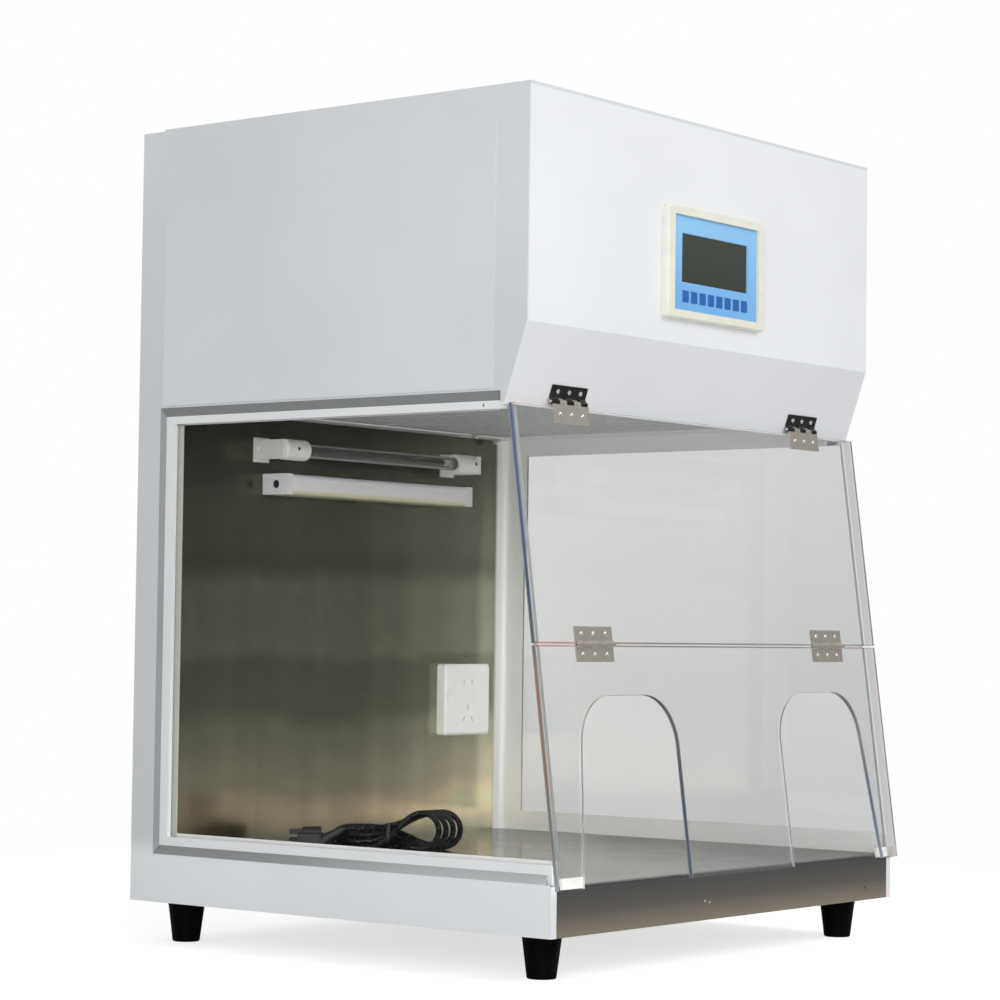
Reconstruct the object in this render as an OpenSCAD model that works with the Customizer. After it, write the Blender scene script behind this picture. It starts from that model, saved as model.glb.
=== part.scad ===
// Bench-top vertical laminar flow hood.
// Frame: X to the right, Y to the back, Z up; the origin is under the middle of the hood, at foot level.

/* [Cabinet] */
// Width over the side skins
hood_w = 650; // [560:1:760]
// Depth from the base front to the rear edge
hood_d = 580; // [520:1:680]
// Height of the box that stands on the feet
box_h = 850; // [830:1:950]
// Height of the rubber feet
foot_h = 45; // [25:1:60]
// Thickness of the painted and stainless sheet
sheet_t = 1.5; // [1:0.1:2]

/* [Front] */
// How far the upper front stands behind the base front
front_setback = 37; // [25:1:50]
// Height of the upright part of the front cover
front_h = 241; // [235:1:260]
// Height of the sloping fascia under it
fascia_drop = 82; // [60:1:95]
// How far the fascia leans back over its height
fascia_lean = 28; // [16:1:34]
// Depth of the return at the foot of the fascia
fascia_return = 6; // [4:0.5:8]
// Height of the stainless apron
apron_h = 51; // [40:1:70]
// Width of the painted edge at each end of the apron
apron_edge = 9; // [6:0.5:14]

/* [Work chamber] */
// From the outer side face to the liner's inner face
liner_inset = 17.5; // [17:0.5:22]
// From the rear edge to the back wall's inner face
back_inset = 20; // [18:0.5:40]
// Thickness of the liner sheet
liner_t = 1.2; // [0.8:0.1:1.5]
// Radius of the coved rear corners
cove_r = 18; // [8:1:30]
// Height of the ceiling above the fascia's lower edge
ceiling_rise = 16; // [12:1:24]
// Height of the liner's strip under the side opening
liner_sill = 24; // [20:1:28]

/* [Side windows] */
// From the rear edge to the window recess
window_rear = 33.5; // [32:0.5:60]
// Height of the recess above the fascia's lower edge
window_rise = 14; // [9:1:15]
// Width of the bevel at the top and foot of the recess
bevel_w = 10; // [6:0.5:11]
// Width of the bevel at the rear of the recess
bevel_rear = 4; // [2:0.5:8]
// Depth of the bevel
bevel_d = 6; // [3:0.5:7]
// Visible width of the top rail
rail_top = 8; // [6:0.5:12]
// Visible width of the foot rail
rail_foot = 9; // [6:0.5:12]
// Visible width of the rear stile
stile_w = 12; // [8:0.5:16]
// Thickness of the window frame
frame_t = 5; // [3:0.5:6]
// Thickness of the window glass
glass_t = 5; // [4:0.5:5.5]

/* [Sash] */
// Thickness of the acrylic sash
sash_t = 5; // [4:0.5:8]
// Gap between the sash and the front edges behind it
sash_gap = 4; // [3:0.5:6]
// How far the sash hangs below the work surface
sash_drop = 5; // [2:0.5:12]
// Height of the fold line, along the sash from the work surface
fold_s = 238; // [225:1:255]
// Clear gap at the fold line
fold_gap = 2; // [1.5:0.5:4]
// Width of each arm opening
arm_w = 190; // [140:1:196]
// Height of the arm openings, along the sash
arm_h = 186; // [150:1:200]
// Corner radius of the arm openings
arm_r = 54; // [30:1:65]
// How far the outer side of an arm opening leans in on its way up
arm_lean = 20; // [0:1:30]
// Width of the left leg of the sash
left_leg_w = 42; // [30:1:60]
// Width of the right leg of the sash
right_leg_w = 31; // [30:1:60]

/* [Hinges] */
// Width of the upper hinges
upper_hinge_w = 60; // [40:1:80]
// Width of the middle hinges
mid_hinge_w = 64; // [40:1:80]
// Distance of a hinge's middle from the edge of the sash
hinge_inset = 102; // [65:1:130]
// Shift of both pairs of hinges to the right
hinge_shift = -5; // [-20:1:20]
// Thickness of a hinge leaf
leaf_t = 1.2; // [1:0.1:1.5]
// Radius of a hinge pin
pin_r = 1.5; // [1.2:0.1:1.8]
// Radial clearance between pin and knuckle
pin_fit = 0.05; // [0.02:0.01:0.1]
// Height of the upper hinge's axis above the fascia's lower edge
axis_rise = 7; // [5:0.5:9]
// Height of a middle hinge leaf
mid_leaf_h = 18; // [12:0.5:18]

/* [Filter and blower] */
// Height of the filter's frame
filter_h = 69; // [50:1:72]
// Gap between the filter and the cabinet's sides
filter_side = 35; // [8:1:90]
// Gap between the filter and the shelf's front and rear edges
filter_end = 10; // [6:1:50]
// Distance between filter pleats
pleat_pitch = 11.5; // [8:0.5:20]
// Gap between the blower and the prefilter over it
blower_gap = 6; // [3:0.5:14]
// Outer radius of the impeller
impeller_r = 60; // [50:1:62]
// Width of the impeller
impeller_w = 56; // [40:1:64]
// Number of impeller blades
blade_count = 32; // [20:1:40]
// Radius of the motor shaft
shaft_r = 4; // [3:0.5:6]
// Radius of the motor
motor_r = 42; // [34:1:46]
// Length of the motor
motor_len = 68; // [50:1:90]

/* [Control panel] */
// Width of the cream bezel
bezel_w = 187; // [180:1:200]
// Height of the cream bezel
bezel_h = 121; // [116:1:130]
// How far the bezel stands proud
bezel_d = 8; // [7:0.5:12]
// Height of the bezel's middle above the fascia fold
bezel_rise = 86; // [75:1:130]
// Width of the face in the bezel
face_w = 162; // [160:1:166]
// Height of the face in the bezel
face_h = 102; // [100:1:104]
// Width of the display window
display_w = 127; // [100:1:130]
// Height of the display window
display_h = 53; // [40:1:54]
// Number of keys
key_count = 8; // [4:1:8]
// Width of a key
key_w = 11.5; // [8:0.5:12]
// Height of a key
key_h = 12; // [8:0.5:12]
// Distance between key centres
key_pitch = 16.2; // [15.5:0.1:16.5]
// Travel of a key
key_travel = 0.5; // [0.3:0.1:0.6]

/* [Lamps and socket] */
// Radius of the germicidal tube
tube_r = 8; // [7:0.5:9]
// Length of the tube's glass
tube_len = 288; // [240:1:300]
// Distance of the tube's axis from the back wall
tube_out = 38; // [30:1:45]
// Height of the tube's axis under the ceiling
tube_drop = 38; // [30:1:50]
// Shift of the tube's middle to the right
tube_shift = 23; // [-20:1:30]
// Length of the lighting batten
batten_len = 341; // [280:1:360]
// Height of the lighting batten
batten_h = 24; // [18:1:30]
// Depth of the lighting batten
batten_d = 37; // [28:1:42]
// Height of the batten's middle under the ceiling
batten_drop = 77; // [70:1:110]
// Shift of the batten to the right
batten_shift = 29; // [-40:1:60]
// Side of the square socket outlet
socket_w = 88; // [80:1:92]
// How far the outlet stands proud of the wall
socket_d = 14; // [9:0.5:18]
// Distance of the outlet's middle from the cabinet's right side
socket_side = 100; // [75:1:200]
// Height of the outlet's middle over the work surface
socket_rise = 164; // [60:1:260]

/* [Feet and mains lead] */
// Radius of a foot at the top
foot_top_r = 20.5; // [14:0.5:25]
// Radius of a foot at the floor
foot_low_r = 15; // [10:0.5:20]
// Distance of a foot's middle from the edges
foot_inset = 44; // [30:1:70]
// Diameter of the mains lead
lead_d = 6.5; // [6:0.1:8]

/* [Hidden] */
$fn = 48;
eps = 0.01;
fit = 0.3;

half_w = hood_w / 2;
top_z = foot_h + box_h;
work_z = foot_h + apron_h;
fold_z = top_z - front_h;
lip_z = fold_z - fascia_drop;
lip_y = front_setback + fascia_lean;
fascia_a = atan2(fascia_lean, fascia_drop);
sash_a = atan2(lip_y, lip_z - work_z);
ceiling_z = lip_z + ceiling_rise;
wall_y = hood_d - back_inset;
roof_edge = 3.5;
skin_top = top_z - roof_edge;
rear_post = 32;
back_y = hood_d - 2 * sheet_t;

// Sash geometry: s runs up the sash from the base front's upper edge, n points out of it to the back.
sash_out = -(sash_gap + sash_t);
sash_low = -sash_drop;
axis_z = lip_z + axis_rise;
knuckle_r = pin_r + pin_fit + leaf_t;
upper_n = sash_out + knuckle_r - leaf_t;
upper_s = (axis_z - work_z + upper_n * sin(sash_a)) / cos(sash_a);
upper_y = upper_n * cos(sash_a) + upper_s * sin(sash_a);
sash_top = upper_s - knuckle_r - 3;
mid_n = sash_out - knuckle_r - fit;
front_y = sash_out * cos(sash_a) + sash_low * sin(sash_a);
mid_y = (hood_d + front_y) / 2;

// Moves what is built from the base front to the hood's own frame.
module placed() {
    translate([0, -mid_y, 0]) children();
}

// Extrudes a Y-Z outline along X, from x over a thickness.
module across(x, thick) {
    translate([x, 0, 0]) rotate([90, 0, 90]) linear_extrude(thick) children();
}

// Carries what is drawn in X, n, s to its place along the sash.
module on_sash() {
    translate([0, 0, work_z]) rotate([-sash_a, 0, 0]) children();
}

// Carries what is drawn in X, Z, out to the upright front of the cover.
module on_front(x, z) {
    translate([x, front_setback, z]) rotate([90, 0, 0]) children();
}

module both_sides() {
    children();
    mirror([1, 0, 0]) children();
}

module slab(size, low) {
    translate([-size[0] / 2, -size[1] / 2, low]) cube(size);
}

// A rectangle with round corners, made of squares and circles.
module round_rect(w, h, r) {
    square([w - 2 * r, h], center = true);
    square([w, h - 2 * r], center = true);
    for (sx = [-1, 1], sy = [-1, 1]) translate([sx * (w / 2 - r), sy * (h / 2 - r)]) circle(r);
}

module ring(outer, inner, length) {
    difference() {
        cylinder(h = length, r = outer);
        translate([0, 0, -eps]) cylinder(h = length + 2 * eps, r = inner);
    }
}

// ---- Painted cabinet ----

// The front cover's section, from the roof edge down the front, the fascia and its return.
cover_out = [[front_setback, skin_top], [front_setback, fold_z], [lip_y, lip_z],
    [lip_y + fascia_return, lip_z]];
cover_in = [[front_setback + sheet_t, skin_top],
    [front_setback + sheet_t, fold_z + sheet_t * tan(fascia_a / 2)],
    [lip_y + sheet_t * cos(fascia_a) / (1 + sin(fascia_a)), lip_z + sheet_t],
    [lip_y + fascia_return, lip_z + sheet_t]];

win_top = lip_z + window_rise;
win_low = work_z + 1;
win_y = hood_d - window_rear;
win_front_top = lip_y + fascia_return;
win_front_low = 3;

module skin_outline() {
    polygon([[0, foot_h], [hood_d, foot_h], [hood_d, skin_top], cover_in[0], cover_in[1], cover_in[2],
        cover_in[3], [win_front_top, win_top], [win_y, win_top], [win_y, win_low],
        [win_front_low, win_low], [win_front_low, work_z], [0, work_z]]);
}

// The recess outline, drawn in by the bevel widths times part and let out by grow.
module recess_outline(part, grow) {
    top = win_top - part * bevel_w + grow;
    low = win_low + part * bevel_w - grow;
    rear = win_y - part * bevel_rear + grow;
    slope = (win_front_top - win_front_low) / (win_top - win_low);
    polygon([[win_front_low + slope * (low - win_low), low], [rear, low], [rear, top],
        [win_front_low + slope * (top - win_low), top]]);
}

module bevel_block(grow, over) {
    hull() {
        across(-over, eps) recess_outline(0, grow);
        across(bevel_d + over - eps, eps) recess_outline(1, grow);
    }
}

rear_flange = 14;
low_flange = 7;

module side_skin() {
    across(0, sheet_t) skin_outline();
    difference() {
        bevel_block(sheet_t, 0);
        bevel_block(0, 0.2);
        across(-1, bevel_d + 2) polygon([[-20, 0], [-20, top_z],
            [win_front_top + eps, top_z], [win_front_top + eps, win_top - bevel_w],
            [win_front_low + 6, win_low + bevel_w], [win_front_low + eps, 0]]);
    }
    translate([0, 0, foot_h]) cube([apron_edge, sheet_t, apron_h]);
    translate([0, hood_d - sheet_t, foot_h]) cube([rear_flange, sheet_t, skin_top - foot_h]);
    translate([0, apron_hem + fit, foot_h])
        cube([low_flange, hood_d - apron_hem - fit, sheet_t]);
}

module left_side_skin() {
    color("gainsboro") placed() translate([-half_w, 0, 0]) side_skin();
}

module right_side_skin() {
    color("gainsboro") placed() mirror([1, 0, 0]) translate([-half_w, 0, 0]) side_skin();
}

module base_pan() {
    hem = 22;
    w = hood_w - 2 * sheet_t;
    color("lightgray") placed() difference() {
        translate([-w / 2, sheet_t, foot_h + sheet_t])
            cube([w, back_y - sheet_t, hem]);
        translate([-w / 2 + sheet_t, 2 * sheet_t, foot_h + 2 * sheet_t])
            cube([w - 2 * sheet_t, back_y - 3 * sheet_t, hem]);
        for (x = [-1, 1], y = [foot_inset, hood_d - foot_inset])
            translate([x * (half_w - foot_inset), y, foot_h])
                cylinder(h = 10, r = bolt_r + 0.25);
    }
}

bend_r = 3;
apron_hem = 8;
floor_w = hood_w - 2 * apron_edge;

// The work surface and its apron, folded from one sheet.
module work_surface() {
    arc = [for (a = [0:15:90]) [bend_r - bend_r * cos(a), work_z - bend_r + bend_r * sin(a)]];
    arc_in = [for (a = [90:-15:0]) [bend_r - (bend_r - sheet_t) * cos(a),
        work_z - bend_r + (bend_r - sheet_t) * sin(a)]];
    color("silver") placed() across(-floor_w / 2, floor_w) polygon(concat([[0, foot_h]], arc,
        [[wall_y, work_z], [wall_y, work_z - sheet_t]], arc_in,
        [[sheet_t, foot_h + sheet_t], [apron_hem, foot_h + sheet_t], [apron_hem, foot_h]]));
}

inlet_side = 110;
inlet_drop = 157;
inlet_x = half_w - inlet_side;
inlet_z = top_z - inlet_drop;

module back_panel() {
    w = hood_w - 2 * sheet_t;
    color("gainsboro") placed() difference() {
        union() {
            translate([-w / 2, back_y, foot_h + sheet_t])
                cube([w, sheet_t, skin_top - foot_h]);
            translate([-half_w, hood_d - rear_post, skin_top])
                cube([hood_w, rear_post, sheet_t]);
        }
        translate([inlet_x, back_y - 1, inlet_z]) rotate([-90, 0, 0])
            linear_extrude(10) round_rect(28.4, 20.4, 2);
        translate([-w, back_y + sheet_t, skin_top - 20]) cube([2 * w, 2, 20]);
    }
}

grille_w = 340;
grille_l = 240;
intake_y = (front_setback + hood_d) / 2 - 8;

module roof_panel() {
    roof_d = hood_d - rear_post - front_setback - fit;
    color("gainsboro") placed() difference() {
        translate([-half_w, front_setback, skin_top]) cube([hood_w, roof_d, roof_edge]);
        translate([-half_w + sheet_t, front_setback + sheet_t, skin_top - 1])
            cube([hood_w - 2 * sheet_t, roof_d - 2 * sheet_t, roof_edge - sheet_t + 1]);
        translate([0, intake_y, 0]) linear_extrude(top_z + 1)
            round_rect(grille_w - 30, grille_l - 30, 8);
    }
}

// Slotted plate under the roof opening, with hemmed ends that carry the pad.
module intake_grille() {
    slot_l = 88;
    slot_pitch = 12;
    rows = 15;
    z = top_z - 2 * sheet_t;
    color("gainsboro") placed() translate([0, intake_y, z]) {
        linear_extrude(sheet_t) difference() {
            square([grille_w, grille_l], center = true);
            for (i = [0:rows - 1], c = [-1:1])
                translate([c * (slot_l + 12), (i - (rows - 1) / 2) * slot_pitch])
                    round_rect(slot_l, 5, 2.4);
        }
        for (s = [-1, 1]) translate([s * (grille_w / 2 - sheet_t / 2) - sheet_t / 2, -grille_l / 2, -pad_t])
            cube([sheet_t, grille_l, pad_t]);
        for (s = [-1, 1]) translate([s * (grille_w / 2 - 5) - 5, -grille_l / 2, -pad_t - sheet_t])
            cube([10, grille_l, sheet_t]);
    }
}

pad_t = 9;

module prefilter_pad() {
    color("whitesmoke") placed() translate([0, intake_y, 0])
        slab([grille_w - 2 * sheet_t - 2 * fit, grille_l - 10, pad_t], pad_low);
}

module front_cover() {
    outline = concat(cover_out, [for (i = [3:-1:0]) cover_in[i]]);
    color("whitesmoke") placed() difference() {
        across(-half_w, hood_w) polygon(outline);
        on_front(0, fold_z + bezel_rise) translate([0, 0, -5]) linear_extrude(10)
            square([face_w - 4, face_h - 4], center = true);
    }
}

// Raised access panel with chamfered upper corners.
module service_panel() {
    proud = 1.2;
    front = front_setback + 44;
    rear = hood_d - 37;
    low = win_top + 2;
    high = top_z - 23;
    cut = 16;
    across(-proud, proud) polygon([[front, low], [rear, low], [rear, high - cut],
        [rear - cut, high], [front + cut, high], [front, high - cut]]);
}

module left_service_panel() {
    color("gainsboro") placed() translate([-half_w, 0, 0]) service_panel();
}

module right_service_panel() {
    color("gainsboro") placed() mirror([1, 0, 0]) translate([-half_w, 0, 0]) service_panel();
}

// ---- Work chamber ----

liner_x = half_w - liner_inset;
socket_x = half_w - socket_side;
socket_box = 60;

module liner_plan(grow) {
    r = cove_r + grow;
    hw = liner_x + grow;
    back = wall_y + grow;
    translate([-hw, 0]) square([2 * hw, back - r]);
    translate([-hw + r, 0]) square([2 * (hw - r), back]);
    for (s = [-1, 1]) translate([s * (hw - r), back - r]) circle(r);
}

open_top = win_top - bevel_w - rail_top;
open_low = work_z + liner_sill - 4;
open_y = win_y - bevel_rear - stile_w;

// Back wall and both side walls, folded from one stainless sheet with coved corners.
module chamber_liner() {
    sill_z = work_z + liner_sill;
    color("darkgray") placed() difference() {
        translate([0, 0, work_z]) linear_extrude(ceiling_z - work_z) difference() {
            liner_plan(liner_t);
            liner_plan(0);
            translate([-hood_w, -1]) square([2 * hood_w, 4]);
        }
        across(-hood_w, 2 * hood_w) polygon([[-50, sill_z], [open_y - 6, sill_z],
            [open_y - 6, open_top - 1], [lip_y + 16, open_top - 1],
            [lip_y + 16, top_z], [-50, top_z]]);
        across(-hood_w, 2 * hood_w) polygon([[-50, 0], [-50, sill_z + 1],
            [(sill_z + 1 - work_z) * tan(sash_a) + 1, sill_z + 1], [1, work_z], [1, 0]]);
        translate([socket_x, wall_y - 5, work_z + socket_rise]) rotate([-90, 0, 0])
            linear_extrude(10) square(socket_box + 2 * fit, center = true);
    }
}

deck_front = lip_y + 16;
filter_mid = (deck_front + wall_y) / 2;
filter_w = hood_w - 2 * filter_side;
filter_d = wall_y - deck_front - 2 * filter_end;
screen_t = 1.2;

deck_h = 30;
deck_lip = 20;

// The ceiling shelf: it closes the chamber round the screen and carries the filter.
module filter_deck() {
    color("silver") placed() difference() {
        translate([-half_w + sheet_t, deck_front, ceiling_z])
            cube([hood_w - 2 * sheet_t, back_y - deck_front, deck_h]);
        translate([-half_w + 2 * sheet_t, deck_front + sheet_t, ceiling_z + sheet_t])
            cube([hood_w - 4 * sheet_t, back_y - deck_front - 2 * sheet_t, deck_h]);
        translate([0, filter_mid, 0]) linear_extrude(top_z)
            square([filter_w - 2 * deck_lip, filter_d - 2 * deck_lip], center = true);
    }
}

module diffuser_screen() {
    slot = [118, 7];
    slot_gap = 8;
    rows = floor((filter_d - 60) / 17);
    color("white") placed() translate([0, filter_mid, ceiling_z + sheet_t])
        linear_extrude(screen_t) difference() {
            square([filter_w - 10, filter_d - 10], center = true);
            for (c = [-1.5:1:1.5], i = [0:rows - 1])
                translate([c * (slot[0] + slot_gap), (i - (rows - 1) / 2) * 17])
                    square(slot, center = true);
        }
}

filter_z = ceiling_z + sheet_t + screen_t;
filter_wall = 12;

module filter_frame() {
    lip = 6;
    color("lightsteelblue") placed() translate([0, filter_mid, filter_z]) difference() {
        slab([filter_w, filter_d, filter_h], 0);
        slab([filter_w - 2 * filter_wall, filter_d - 2 * filter_wall, filter_h - 2 * 3], 3);
        slab([filter_w - 2 * filter_wall - 2 * lip, filter_d - 2 * filter_wall - 2 * lip,
            filter_h + 2], -1);
    }
}

// Folded filter medium: a zigzag ribbon across the frame.
module filter_pleats() {
    paper = 0.8;
    run = filter_d - 2 * filter_wall - 2;
    n = floor(run / pleat_pitch);
    low = 4;
    high = filter_h - 4;
    face = [for (i = [0:2 * n]) [i * pleat_pitch / 2 - n * pleat_pitch / 2,
        i % 2 == 0 ? low : high - paper * 4]];
    color("ivory") placed() translate([0, filter_mid, filter_z])
        across(-filter_w / 2 + filter_wall + fit, filter_w - 2 * filter_wall - 2 * fit)
            polygon(concat(face, [for (i = [2 * n:-1:0]) face[i] + [0, paper * 4]]));
}

// ---- Blower ----

pad_low = top_z - 2 * sheet_t - pad_t;
fan_y = intake_y + 30;
tip_gap = 5;
scroll_0 = impeller_r + tip_gap;
scroll_1 = scroll_0 + 27;
scroll_from = 240;
scroll_to = 540;
fan_z = pad_low - sheet_t - blower_gap - scroll_1;
plate_z = fan_z - scroll_1 - sheet_t;
casing_w = impeller_w + 16;

function scroll_r(a) = scroll_0 + (scroll_1 - scroll_0) * (a - scroll_from) / (scroll_to - scroll_from);
function scroll(cut, step) = [for (a = [scroll_from:step:scroll_to])
    (scroll_r(a) - cut) * [cos(a), sin(a)]];

// The spiral housing's outline: the scroll, then the mouth that leads down to the plate.
module scroll_outline(cut, drop) {
    tongue = scroll_r(scroll_from);
    polygon(concat(scroll(cut, 10), [[-scroll_1 + cut, -scroll_1 - drop],
        [tongue * cos(scroll_from) - cut, -scroll_1 - drop]]));
}

module blower_casing() {
    flange = 9;
    mouth = scroll_1 + scroll_r(scroll_from) * cos(scroll_from);
    color("silver") placed() translate([0, fan_y, fan_z]) difference() {
        union() {
            across(-casing_w / 2, casing_w) scroll_outline(0, 0);
            translate([-casing_w / 2 - flange, -scroll_1 - flange, -scroll_1])
                cube([casing_w + 2 * flange, mouth + 2 * flange, sheet_t]);
            translate([-casing_w / 2 - 6, 0, 0]) rotate([0, 90, 0])
                cylinder(h = 7, r = impeller_r - 6);
        }
        across(-casing_w / 2 + sheet_t, casing_w - 2 * sheet_t) scroll_outline(sheet_t, 5);
        translate([-casing_w / 2 - 10, 0, 0]) rotate([0, 90, 0])
            cylinder(h = 20, r = impeller_r - 8);
        translate([0, 0, 0]) rotate([0, 90, 0]) cylinder(h = casing_w, r = shaft_r + 6);
    }
}

module blower_plate() {
    mouth = scroll_1 + scroll_r(scroll_from) * cos(scroll_from);
    color("silver") placed() difference() {
        translate([-half_w + sheet_t, front_setback + sheet_t, plate_z])
            cube([hood_w - 2 * sheet_t, back_y - front_setback - sheet_t, sheet_t]);
        translate([-casing_w / 2 + sheet_t, fan_y - scroll_1 + sheet_t, plate_z - 1])
            cube([casing_w - 2 * sheet_t, mouth - 2 * sheet_t, 5]);
    }
}

shaft_from = -14;
motor_x = casing_w / 2;

// Forward-curved impeller: back disc, hub, blades and front ring.
module impeller() {
    blade = 1.6;
    depth = 14;
    back_t = 2;
    inner = impeller_r - depth;
    left = -impeller_w / 2;
    color("dimgray") placed() translate([0, fan_y, fan_z]) rotate([0, 90, 0]) {
        difference() {
            union() {
                translate([0, 0, -left - back_t]) cylinder(h = back_t, r = impeller_r);
                translate([0, 0, shaft_from]) cylinder(h = -left - shaft_from, r = shaft_r + 8);
            }
            translate([0, 0, shaft_from - eps]) cylinder(h = impeller_w, r = shaft_r);
        }
        translate([0, 0, left]) ring(impeller_r, inner + 4, 2);
        for (i = [0:blade_count - 1]) rotate([0, 0, i * 360 / blade_count])
            translate([0, 0, left + 1]) linear_extrude(impeller_w - back_t)
                polygon(blade_points(inner, blade));
    }
}

// One blade in section: an arc that leans forward at the rim.
function blade_arc(inner, off) = [for (k = [0:4]) let(u = k / 4, r = inner + u * (impeller_r - 1 - inner),
    a = 9 * u * u + off / r * 57.3) r * [cos(a), sin(a)]];
function blade_points(inner, t) = concat(blade_arc(inner, 0), [for (i = [4:-1:0]) blade_arc(inner, t)[i]]);

module motor_shaft() {
    color("silver") placed() translate([shaft_from, fan_y, fan_z]) rotate([0, 90, 0])
        cylinder(h = motor_x + motor_len - 8 - shaft_from, r = shaft_r);
}

module blower_motor() {
    fins = 7;
    color("dimgray") placed() translate([motor_x, fan_y, fan_z]) rotate([0, 90, 0]) difference() {
        union() {
            cylinder(h = 4, r = motor_r + 5);
            cylinder(h = motor_len, r = motor_r - 4);
            for (i = [0:fins - 1]) translate([0, 0, 10 + i * (motor_len - 18) / (fins - 1)])
                cylinder(h = 3, r = motor_r);
        }
        translate([0, 0, -1]) cylinder(h = motor_len - 5, r = shaft_r + pin_fit);
    }
}

// ---- Side windows ----

glass_x = bevel_d + frame_t;

module side_frame() {
    hide = 5;
    low = work_z + 0.5;
    outer_top = win_top - bevel_w + hide;
    rear = win_y - bevel_rear + hide;
    front_top = win_front_top + fit;
    front_low = (open_low - work_z) * tan(sash_a) + 2;
    across(bevel_d, frame_t) polygon([[3, low], [rear, low], [rear, outer_top], [front_top, outer_top],
        [front_top, open_top], [open_y, open_top], [open_y, open_low], [front_low, open_low]]);
}

module side_glass() {
    low = work_z + 2;
    high = lip_z - 1;
    across(glass_x, glass_t) polygon([[(low - work_z) * tan(sash_a) + 1, low], [open_y + 6, low],
        [open_y + 6, high], [(high - work_z) * tan(sash_a) + 1, high]]);
}

module left_window_frame() {
    color("white") placed() translate([-half_w, 0, 0]) side_frame();
}

module right_window_frame() {
    color("white") placed() mirror([1, 0, 0]) translate([-half_w, 0, 0]) side_frame();
}

module left_window_glass() {
    color("lightcyan", 0.4) placed() translate([-half_w, 0, 0]) side_glass();
}

module right_window_glass() {
    color("lightcyan", 0.4) placed() mirror([1, 0, 0]) translate([-half_w, 0, 0]) side_glass();
}

// ---- Control panel ----

face_z = 3;
face_t = 1.5;
board_z = -8;
board_t = 1.6;
display_rise = face_h / 2 - 45;
keys_drop = face_h / 2 - 15.5;
key_flange = 1;

module panel() {
    placed() on_front(0, fold_z + bezel_rise) children();
}

module panel_bezel() {
    soft = 2;
    ledge = 4;
    color("cornsilk") panel() {
        difference() {
            union() {
                linear_extrude(bezel_d - soft) round_rect(bezel_w, bezel_h, 5);
                hull() {
                    translate([0, 0, bezel_d - soft]) linear_extrude(eps) round_rect(bezel_w, bezel_h, 5);
                    translate([0, 0, bezel_d - eps]) linear_extrude(eps)
                        round_rect(bezel_w - 2 * soft, bezel_h - 2 * soft, 4);
                }
            }
            translate([0, 0, face_z]) linear_extrude(bezel_d)
                square([face_w, face_h], center = true);
            translate([0, 0, -1]) linear_extrude(bezel_d)
                square([face_w - 2 * ledge, face_h - 2 * ledge], center = true);
        }
        for (x = [-1, 1], y = [-1, 1])
            translate([x * (face_w / 2 - ledge - 1.5), y * (face_h / 2 - ledge - 1.5), board_z + board_t])
                cylinder(h = face_z - board_z - board_t, r = 2.5);
    }
}

module key_grid() {
    for (i = [0:key_count - 1]) translate([(i - (key_count - 1) / 2) * key_pitch, -keys_drop]) children();
}

module panel_face() {
    color("lightskyblue") panel() translate([0, 0, face_z]) linear_extrude(face_t) difference() {
        square([face_w - 2 * fit, face_h - 2 * fit], center = true);
        translate([0, display_rise]) square([display_w, display_h], center = true);
        key_grid() square([key_w + 2 * fit, key_h + 2 * fit], center = true);
    }
}

module display() {
    color("darkslategray") panel() translate([0, display_rise, 0]) {
        slab([display_w + 3, display_h + 3, face_z - board_z - board_t], board_z + board_t);
    }
}

module control_board() {
    switch_h = face_z - key_flange - 0.8 - board_z - board_t;
    color("darkgreen") panel() {
        slab([face_w - 8, face_h - 8, board_t], board_z);
        translate([0, 0, board_z + board_t - eps]) linear_extrude(4) key_grid()
            square([6, 6], center = true);
        translate([0, 0, board_z + board_t - eps]) linear_extrude(switch_h) key_grid() circle(1.7);
        translate([-30, 20, board_z - 12]) cube([26, 18, 12 + eps]);
        translate([22, 12, board_z - 18]) cube([30, 24, 18 + eps]);
        for (x = [-52, 4]) translate([x, 24, board_z - 14]) cylinder(h = 14 + eps, r = 6);
    }
}

module key(i) {
    color("royalblue") panel() translate([(i - (key_count + 1) / 2) * key_pitch, -keys_drop, 0]) {
        translate([0, 0, face_z - key_flange]) linear_extrude(key_flange)
            square([key_w + 2.4, key_h + 2.4], center = true);
        translate([0, 0, face_z - eps]) linear_extrude(face_t + 0.6) round_rect(key_w, key_h, 1);
    }
}

// ---- Electrics ----

module mains_inlet() {
    depth = 20;
    color("black") placed() translate([inlet_x, hood_d, inlet_z]) rotate([90, 0, 0]) {
        difference() {
            union() {
                linear_extrude(sheet_t) round_rect(48, 26, 3);
                linear_extrude(depth + 3) round_rect(28, 20, 2);
            }
            translate([0, 0, -1]) linear_extrude(depth - 3) round_rect(24.4, 16.4, 3);
        }
        for (p = [[0, 3.4], [-7, -2.6], [7, -2.6]]) translate([p[0] - 1, p[1] - 2, 5])
            cube([2, 4, depth + 6]);
    }
}

ballast = [160, 44, 30];
ballast_foot = 13;
ballast_side = 155;
ballast_back = 110;

module lamp_ballast() {
    at = [ballast_side - half_w, hood_d - ballast_back, plate_z + sheet_t];
    color("lightgray") placed() translate(at) {
        slab(ballast, 0);
        slab([ballast[0] + 2 * ballast_foot, ballast[1] - 14, sheet_t], 0);
    }
}

tube_y = wall_y - tube_out;
tube_z = ceiling_z - tube_drop;
cap_r = 12;
cap_len = 36.5;
cap_over = 7;

module uv_tube() {
    color("aliceblue", 0.6) placed() translate([tube_shift - tube_len / 2, tube_y, tube_z])
        rotate([0, 90, 0]) cylinder(h = tube_len, r = tube_r);
}

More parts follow.
